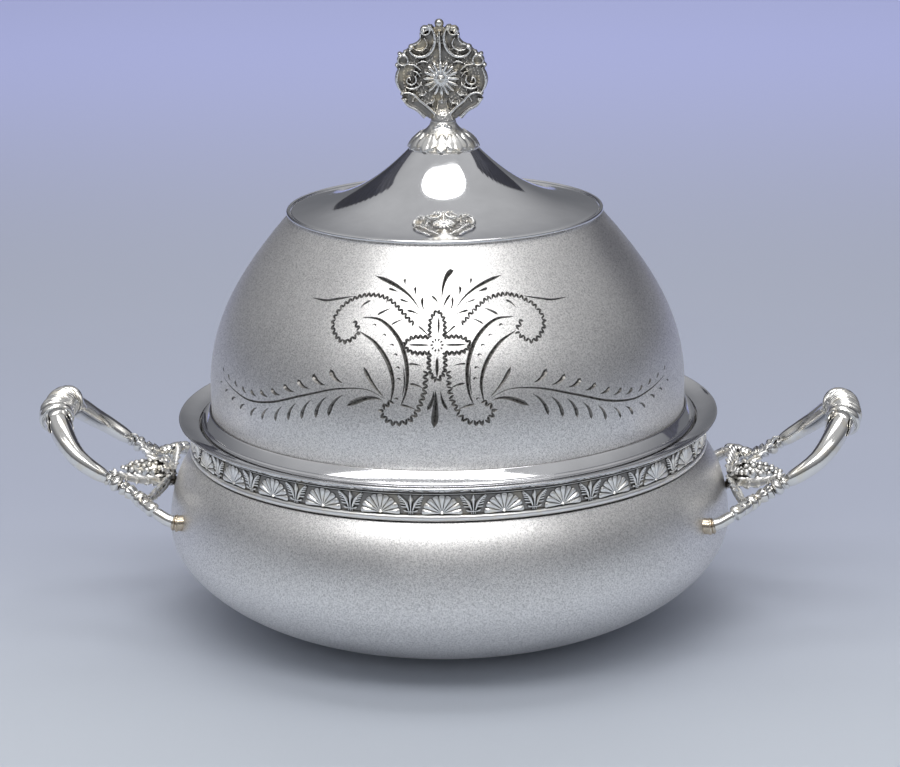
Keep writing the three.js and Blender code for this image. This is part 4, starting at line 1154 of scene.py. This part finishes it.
def bracts(start):
    """A sheath of petals round the arm that opens like a small flower."""
    t, sides = np.linspace(0, 1, 9), 8 * PETALS
    edge = 1 - np.abs(np.cos(PETALS * math.pi * np.arange(sides) / sides)) ** 0.6
    opening = BRACT_RADIUS + BRACT_FLARE * np.sin(0.55 * math.pi * t)
    radii = opening[:, None] - 0.6 * edge[None, :] * t[:, None]
    radii[-1] = BRACT_RADIUS - 0.2
    return turned_bar(start + BRACT_LENGTH * t, radii, sides)


arm = clear_of_bowl(turned_bar(*np.array(ARM_ROOT + ARM_RINGS + ARM_SWELL).T))
fit_four("cast_{end}_arm", [arm, bracts(26.9), bracts(29.4)], "handle_{end}_arm", "cast_silver", BAR)

# %% Turn the reeded sleeve
SLEEVE_HALF = 10.5
REEDS = 9
REEDED_HALF = 8.1
LIP = [(8.25, 5.0), (8.5, 5.4), (8.9, 5.75), (9.5, 5.9), (10.1, 5.8), (10.45, 5.5), (10.5, 5.15)]
MOUTH = [(10.45, 4.9), (10.4, 4.5), (10.3, 4.1), (10.0, 3.9), (5, 3.88)]
FILLET = [(11.6, 3.85), (11.2, 4.05), (10.7, 4.45), (10.4, 4.95), (10.2, 4.9), (10.2, 3.85)]
LEAF_WIDE = 1.35 * np.array([0.9, 1, 1, 0.95, 0.8, 0.6, 0.35, 0.05])
LEAF_THICK = 0.3
handle_middle = handle_length / 2


def flipped(profile):
    return [(-u, r) for u, r in reversed(profile)]


def sleeve_ring(profile):
    return turned_ring([(handle_middle + u, r) for u, r in profile])


def sleeve_leaf(length, turn, lean):
    """A thin leaf that lies along the arm before the sleeve, turned round it."""
    t = np.linspace(0, 1, 8)
    turns = (turn + lean * (1 - 0.5 * t))[:, None]
    start = handle_middle - SLEEVE_HALF + 0.6
    path, way = round_handle(start - length * t, (4.4 - 0.3 * t)[:, None], turns)
    return swept(path[:, 0], LEAF_WIDE, LEAF_THICK, way[:, 0])


reed_run = np.linspace(-REEDED_HALF, REEDED_HALF, 10 * REEDS + 1)
reed_wave = np.abs(np.sin(math.pi * REEDS * (reed_run + REEDED_HALF) / (2 * REEDED_HALF)))
reeds = list(zip(reed_run, 4.3 + 1.25 * reed_wave ** 0.8))
tube = flipped(LIP) + reeds + LIP + MOUTH + flipped(MOUTH)
sleeve = [sleeve_ring(profile) for profile in (tube, flipped(FILLET), FILLET)]
for turn in (0.0, math.pi):
    for lean, length in ((-0.42, 4.0), (0, 6.2), (0.42, 4.0)):
        tip = sleeve_leaf(length, turn, lean)
        sleeve += [tip, mirrored(tip)]
fit_both("reeded_sleeve_tube", sleeve, "reeded_sleeve", "cast_silver", BAR)

# %% Turn the collars
collar = turned_ring([
    (1.4, 2.25), (1.4, 2.55), (3.8, 2.55), (4.1, 2.85), (4.4, 2.85), (4.65, 2.55), (4.75, 2.4), (4.9, 2.55),
    (5.2, 2.65), (5.45, 2.5), (5.6, 2.25),
])
fit_four("{end}_root_rings", [clear_of_bowl(collar)], "{end}_mount_collar", "brass", BRASS)

# %% [markdown]
# ## Leaves and berries
#
# Between the arms stands a bracket of striated leaves. A leaf is a midrib with lobes that leave it on
# both sides and lean towards the tip, over a thin blade that joins them. The bars of a casting overlap,
# so a voxel skin fuses them into one solid, softened a little as wax would be.

# %% Build leaves from bars
LEAF_BLUNT = 0.25
LOBE_LIFT = ((0, 0), (0.4, 0.35), (0.75, 0.3), (1, -0.1))
LOBE_WIDE = [0.3, 0.42, 0.5, 0.5, 0.36, 0.08]


def leaf(points, half_width, lobes, over, thick=0.75):
    """A leaf along a path; over is the way that its face looks."""
    path = curved(points, 6 * lobes + 1)
    t = np.linspace(0, 1, len(path))
    along, across, up = frames(path, over)
    width = half_width * np.sin(math.pi * (LEAF_BLUNT + (1 - LEAF_BLUNT) * t)) ** 0.7
    width[-1] = 0.05
    solids = [swept(path, 0.8 * width + 0.1, 0.32 * thick, up), swept(path, 0.3 * (1.1 - t), thick, up)]
    for k in range(2, 6 * lobes, 6):
        for side in (-1, 1):
            out = side * across[k] * 0.75 + along[k] * 0.75
            reach = 1.35 * width[k] + 0.2
            steps = [path[k] + reach * s * out + up[k] * thick * h for s, h in LOBE_LIFT]
            solids.append(swept(curved(steps, 6), LOBE_WIDE, 0.62 * thick, up[k]))
    return solids


def fused(name, solids, voxel, passes=2):
    """Overlapping bars become one skin."""
    piece = skin(name, *gathered(solids))
    fuse = piece.modifiers.new("fuse", "REMESH")
    fuse.mode = "VOXEL"
    fuse.voxel_size = MM * voxel
    soften = piece.modifiers.new("soften", "SMOOTH")
    soften.factor = 0.5
    soften.iterations = passes
    made_plain(piece).data.shade_smooth()
    return piece


def fit_pair(right_piece, stands_for, *materials):
    """Fits a piece of the right handle, and its copy turned half round for the left."""
    mesh = right_piece.data.copy()
    mesh.transform(Matrix.Rotation(math.pi, 4, "Z"))
    left_piece = put(right_piece.name.replace("right", "left"), mesh)
    for side, piece in (("right", right_piece), ("left", left_piece)):
        fit(piece, "dish", f"{side}_{stands_for}", "cast_silver", *materials)


# %% Cast the brackets
BRACKET_VOXEL = 0.24
front_leaves = [
    *leaf([(93.6, -1.2, 46.2), (97.5, -8, 47.2), (103, -15, 49.4), (107.6, -20, 52.4), (110.4, -21.6, 54.6)],
          3.6, 6, (0.25, -0.6, 0.75), 1.0),
    *leaf([(93.4, -2, 46.5), (94.4, -12, 47.4), (95.4, -22, 47.6), (96.6, -31, 47.4)],
          3.1, 7, (0.75, -0.2, 0.65), 1.0),
    *leaf([(93.4, -1.5, 45.4), (94.6, -10, 44.6), (95.6, -19, 44.9), (96.6, -28, 46)],
          1.6, 6, (0.7, -0.5, 0.2), 0.9),
]
root = swept([(89.5, 0, 43.2), (92.4, 0, 43.8), (94, 0, 45.6), (95.5, 0, 47.4)], [1.5, 1.3, 1.9, 1.6], 1.5)
tie = curved([(92.9, -3, 44), (94.1, -1.5, 46), (94.4, 0, 46.6), (94.1, 1.5, 46), (92.9, 3, 44)], 9)
middle_leaves = [
    *leaf([(93.2, 0, 46.4), (94.2, 0, 49.4), (96.4, 0, 51.4), (99, 0, 52)], 2.6, 3, (-0.5, 0, 0.85)),
    *leaf([(93.2, 2.5, 46.4), (94.2, 5, 49.2), (96, 7, 50.8)], 2.0, 3, (-0.3, 0.4, 0.85)),
    *leaf([(93.2, -2.5, 46.4), (94.2, -5, 49.2), (96, -7, 50.8)], 2.0, 3, (-0.3, -0.4, 0.85)),
    *leaf([(93.6, 0, 46), (97, 0, 44.2), (101, 0, 43.9), (105, 0, 44.8)], 2.6, 4, (0.2, 0, -0.98)),
]
bracket = [
    *front_leaves, *map(mirrored, front_leaves), clear_of_bowl(root), swept(tie, 1.1, 1.1), *middle_leaves,
]
fit_pair(fused("right_leaf_casting", bracket, BRACKET_VOXEL), "leaf_bracket", CAST)

# %% Scatter berries with Geometry Nodes
BERRY_RADIUS, BERRY_SPACING = 1.1, 1.78
CORE_HEIGHT = 48.2
CORE_WIDE = np.array([1.4, 2.8, 3.4, 3.5, 3.1, 2.4, 1.5, 0.5])
core_path = [(x, 0, CORE_HEIGHT) for x in (96.8, 97.4, 99, 101.2, 104, 106.6, 108.7, 110.0)]
core_solid = skin("berry_core", *swept(core_path, CORE_WIDE, 0.88 * CORE_WIDE, (0, 0, 1), sides=20))

berry_tree, berry_in, berry_out = new_group(
    "berries_on_body", "GeometryNodeTree",
    {"Body": "Object", "Berry radius": "Float", "Spacing": "Float", "Seed": "Int", "Material": "Material"},
    {"Geometry": "Geometry"},
)
core = node(berry_tree, "GeometryNodeObjectInfo", {"Object": berry_in["Body"]}).outputs["Geometry"]
scattered = node(
    berry_tree, "GeometryNodeDistributePointsOnFaces",
    {"Mesh": core, "Distance Min": berry_in["Spacing"], "Density Max": 2e6, "Seed": berry_in["Seed"]},
    distribute_method="POISSON",
).outputs["Points"]
ball_inputs = {"Radius": berry_in["Berry radius"], "Subdivisions": 2}
ball_shape = node(berry_tree, "GeometryNodeMeshIcoSphere", ball_inputs).outputs["Mesh"]
smooth_ball = node(berry_tree, "GeometryNodeSetShadeSmooth", {0: ball_shape}).outputs[0]
size = node(berry_tree, "FunctionNodeRandomValue", {2: 0.82, 3: 1.12}, data_type="FLOAT").outputs[1]
spots = {"Points": scattered, "Instance": smooth_ball, "Scale": size}
berries = node(berry_tree, "GeometryNodeInstanceOnPoints", spots).outputs[0]
joined = node(berry_tree, "GeometryNodeJoinGeometry")
for item in (core, berries):
    plug(berry_tree, joined.inputs[0], item)
plug(berry_tree, berry_out["Geometry"], realized(berry_tree, joined.outputs[0], berry_in["Material"]))
fit_pair(grown("right_berries", berry_tree, {
    "Body": core_solid, "Berry radius": MM * BERRY_RADIUS, "Spacing": MM * BERRY_SPACING, "Seed": 4,
    "Material": CAST,
}), "berry_cluster")
bpy.data.objects.remove(core_solid)

# %% [markdown]
# ## Finial
#
# The finial is a flat casting with two faces: a rosette in the middle, and scrolls, leaves and hollow
# volutes round it. Each scroll is a bar in the plane of the finial, as thick in front as behind. Below
# it a flared foot of leaves hides the screw.

# %% Draw scrolls in the plane of the finial
FINIAL_MIDDLE = 180.5


def flat(points):
    """Points of the finial's plane, counted from the middle of the rosette."""
    return [(x, 0, FINIAL_MIDDLE + z) for x, z in points]


def through(middle, depths):
    """Points in a line through the finial, from face to face."""
    return [(middle[0], y, FINIAL_MIDDLE + middle[1]) for y in depths]


def curl(middle, radius, start, turns, wide, high, eye=0.0, closing=0.35):
    """A band that winds in towards a middle, with an eye at its end."""
    t = np.linspace(0, 1, 28)
    turn = math.radians(start) + FULL_TURN * turns * t
    reach = radius * (1 - (1 - closing) * t ** 1.3)
    path = flat(zip(middle[0] + reach * np.cos(turn), middle[1] + reach * np.sin(turn)))
    solids = [swept(path, wide * (1 - 0.35 * t), high)]
    if eye:
        oval = [0.5 * eye, eye, 0.5 * eye]
        solids.append(swept(through(middle, (-high, 0, high)), oval, oval, (0, 0, 1)))
    return solids


def band(points, wide, high, count=16):
    shape = np.interp(np.linspace(0, 1, count), np.linspace(0, 1, len(wide)), wide)
    return swept(curved(flat(points), count), shape, high)


def ball(middle, radius, half_depth):
    """A ball in the plane of the finial, drawn out through it to both faces."""
    t = np.linspace(-1, 1, 11)
    swell = np.maximum(np.sqrt(np.maximum(1 - t * t, 0)), 0.08) * radius
    return swept(through(middle, half_depth * t), swell, swell, (0, 0, 1), sides=16)


# %% Lay out the right half of the finial
ROSETTE_RAYS = 16
GRAIN_ROWS = ((6.6, 70), (7.7, 70), (8.8, 70), (9.9, 70), (11.0, 34), (12.1, 26))
GRAIN_GAP = 56

half_finial = [
    *curl((4.6, 15.5), 1.7, 120, 1.2, 0.62, 2.3),
    band([(2.9, 17.0), (1.7, 15.0), (1.5, 12.4), (2.3, 9.6), (4.0, 7.7), (6.4, 7.0), (8.6, 7.7), (9.9, 9.2)],
         [0.5, 0.8, 0.95, 0.95, 0.9, 0.8, 0.5], 2.6, 26),
    band([(4.9, 13.2), (4.0, 11.4), (4.6, 9.9), (6.2, 9.1), (8.2, 9.4)], [0.3, 0.45, 0.5, 0.45, 0.3], 2.2),
    band([(6.1, 14.4), (6.1, 12.6), (7.2, 11.3), (8.6, 10.7)], [0.35, 0.5, 0.5, 0.4], 2.1),
    *curl((12.1, 5.9), 1.75, 90, 1.1, 0.62, 2.2, 0.0, 0.8),
    band([(13.2, 3.5), (14.0, 1.6), (14.3, -0.6), (13.8, -2.6), (12.9, -4.3)],
         [0.35, 0.65, 0.75, 0.65, 0.4], 2.0),
    *curl((9.9, -0.3), 2.0, 140, 0.9, 0.68, 2.4, 0.5, 0.3),
    band([(6.2, 2.6), (8.2, 4.3), (10.3, 4.6)], [0.35, 0.75, 0.4], 2.3, 8),
    band([(6.5, 0.4), (7.4, 1.9), (9.0, 2.6)], [0.3, 0.55, 0.3], 2.3, 8),
    band([(3.9, 5.2), (5.6, 5.6), (7.4, 5.0)], [0.3, 0.6, 0.3], 2.2, 8),
    band([(13.3, -5.2), (11.4, -4.5), (8.8, -5.3), (6.8, -7.3), (4.4, -9.3), (2.4, -11.4)],
         [0.4, 0.7, 0.85, 0.85, 0.85, 0.8], 2.6, 22),
    band([(13.0, -6.4), (10.8, -8.8), (8.2, -10.2), (5.6, -12.6)], [0.4, 0.7, 0.7, 0.9], 2.1),
    band([(6.4, -1.6), (7.8, -2.8), (9.8, -3.3), (11.6, -2.6)], [0.3, 0.7, 0.6, 0.3], 2.2, 10),
    band([(4.8, -4.3), (6.0, -5.4), (7.4, -5.2)], [0.3, 0.6, 0.3], 2.2, 8),
    band([(2.4, -6.2), (3.0, -7.8), (4.6, -7.9)], [0.3, 0.6, 0.3], 2.2, 8),
]
centre_line = [
    band([(0, 6.0), (0, 10.0), (0, 15.4)], [0.5, 0.9, 0.5], 2.3, 10),
    band([(0, -6.0), (0, -9.6), (0, -13.4)], [0.4, 1.3, 1.1], 2.3, 10),
]
rosette = []
for turn in FULL_TURN * np.arange(ROSETTE_RAYS) / ROSETTE_RAYS:
    ray = [(r * math.cos(turn), r * math.sin(turn)) for r in (1.3, 2.4, 3.7, 4.9, 5.8)]
    rosette.append(swept(flat(ray), [0.35, 0.6, 0.92, 1.0, 0.5], [2.4, 2.5, 2.6, 2.55, 2.2]))
ball_places = [
    (9.2, 10.0, 1.05, 2.1), (13.1, 7.8, 0.75, 1.9), (14.1, 4.2, 0.7, 1.9), (11.3, 8.5, 0.65, 1.9),
    (4.9, 15.3, 0.75, 2.6), (11.8, -6.7, 0.8, 2.3), (9.4, -7.3, 0.55, 1.9),
]
hand = np.random.default_rng(5)
for radius, widest in GRAIN_ROWS:
    for turn in np.radians(np.arange(-widest, widest + 5, GRAIN_GAP / radius)):
        x, z = radius * math.cos(turn), radius * math.sin(turn) * 1.05
        ball_places.append((x, z, hand.uniform(0.3, 0.45), hand.uniform(1.4, 1.8)))

# %% Cast the finial
GROUND_DEPTH = 0.9
FINIAL_LEAN = 0.026
FINIAL_BASE = 166.6
FINIAL_VOXEL = 0.21
NECK_SIDES = 24
TOP_BALL = 17.6
FINIAL_EDGE = [
    (4.4, 167.4), (5.5, 168.4), (8.0, 170.7), (10.5, 172.0), (12.7, 174.3), (13.2, 176.0), (14.1, 178.4),
    (14.5, 180.0), (13.7, 182.4), (14.4, 184.8), (13.4, 187.8), (11.6, 189.0), (9.4, 191.2), (7.2, 191.8),
    (6.1, 193.4), (6.3, 196.0), (5.2, 197.5), (3.2, 197.3), (1.9, 196.6), (0.9, 197.2),
]


def two_faced_silver(name):
    """Cast plate whose ground, near the middle plane, is matted and dark."""
    material, tree, sockets = new_material(name)
    depth = sums(tree, "ABSOLUTE", node(tree, "ShaderNodeSeparateXYZ", {0: place_in(tree)}).outputs["Y"])
    raised = spread(tree, depth, MM * GROUND_DEPTH, MM * (GROUND_DEPTH + 0.6))
    bright = blend_colors(tree, raised, rgb(0.3, 0.29, 0.27), rgb(0.87, 0.86, 0.83))
    tarnish_and_shade(tree, sockets, {"Bright": bright, "Wear": 0.35, "Reach": 0.0014}, 1300.0, 2.0, 0.8, 0.00016)
    plug(tree, sockets["Roughness"], spread(tree, raised, 0.0, 1.0, 0.42, 0.14))
    return material


def flat_plate(outline, half_depth):
    """A plate with the outline's corners on two faces."""
    count = len(outline)
    points = [(x, y, z) for y in (-half_depth, half_depth) for x, z in outline]
    sides = [[i, (i + 1) % count, count + (i + 1) % count, count + i] for i in range(count)]
    front = geometry.tessellate_polygon([[Vector((x, z, 0)) for x, z in outline]])
    faces = [list(t) for t in front] + [[count + i for i in reversed(t)] for t in front] + sides
    return np.array(points), faces


other_half = [mirrored(solid, (-1, 1, 1)) for solid in half_finial]
neck_profile = [(0, 166.5), (4.1, 166.5), (3.9, 167.3), (3.4, 168.8), (2.6, 170.6), (1.9, 173.5), (0, 174)]
finial_bars = [
    flat_plate(FINIAL_EDGE + flipped(FINIAL_EDGE), GROUND_DEPTH), *half_finial, *other_half, *centre_line,
    *rosette, spun_solid(neck_profile, NECK_SIDES), ball((0, 0), 1.45, 3.6), ball((0, TOP_BALL), 1.5, 1.6),
]
for x, z, radius, half_depth in ball_places:
    finial_bars += [ball((side * x, z), radius, half_depth) for side in (-1, 1)]
finial_points, finial_faces = gathered(finial_bars)
finial_points[:, 0] -= FINIAL_LEAN * (finial_points[:, 2] - FINIAL_BASE)
finial = fused("finial_casting", [(finial_points, finial_faces)], FINIAL_VOXEL, passes=1)
fit(finial, "cover", "finial", "cast_silver", two_faced_silver("two_faced_plate"))

# %% Cast the leaf foot of the finial
BLADE_WIDE = np.array([0.2, 0.5, 0.7, 0.85, 0.95, 1.05, 1.1, 1.15, 1.15, 1.1, 0.9, 0.45])
FOOT_LEAVES = 6
FOOT_VOXEL = 0.2
CURL_RADIUS, CURL_TURNS, CURL_HEIGHT = 1.45, 1.15, 164.6

foot_curve = bend((4.1, 166.6), (4.4, 163.4), (9.9, 162.6), (11.5, 158.1), 12)
foot_profile = [(2.4, 166.6), *foot_curve, (11.2, 157.5), (9.6, 158.9), (7.2, 160.0), (2.4, 161.5)]
foot_solids = [spun_solid(foot_profile, 48)]
blades = []
for lean, length, wide in ((-0.24, 0.93, 1.25), (0.0, 1.0, 1.7), (0.24, 0.93, 1.25)):
    t = np.linspace(0.46, length, len(BLADE_WIDE))
    reach, height = between(t, np.linspace(0, 1, len(foot_curve)), foot_curve).T
    turn = lean * (0.35 + 0.65 * t)
    path = np.stack([reach * np.sin(turn), -reach * np.cos(turn), height], axis=1)
    blades.append(swept(path, wide * BLADE_WIDE, 0.5, (0, -0.6, 0.8)))
for name, group, first in (("lobes", blades, 30), ("tongues", blades[1:2], 0)):
    foot_leaves = ringed(name, skin(name, *gathered(group)), FOOT_LEAVES, math.radians(first), CAST)
    foot_solids.append(solid_of(foot_leaves.data))
    bpy.data.objects.remove(foot_leaves)
for facing in (-1, 1):
    for side in (-1, 1):
        t = np.linspace(0, 1, 22)
        turn = math.pi / 2 + side * FULL_TURN * CURL_TURNS * t
        reach = CURL_RADIUS * (1 - 0.6 * t)
        x, z = side * 1.75 + reach * np.cos(turn), CURL_HEIGHT + reach * np.sin(turn)
        path = np.stack([x, np.full(len(t), facing * 4.0), z], axis=1)
        foot_solids.append(swept(path, 0.5, 0.7, (0, facing, 0)))
fit(fused("finial_leaf_foot", foot_solids, FOOT_VOXEL), "cover", "finial_foot", "cast_silver", CAST)

# %% Give the screw, washer and nut their brass
for name in ("finial_stud", "finial_washer", "finial_nut"):
    fastener = bpy.data.objects[name]
    fastener.data.materials.clear()
    fastener.data.materials.append(BRASS)
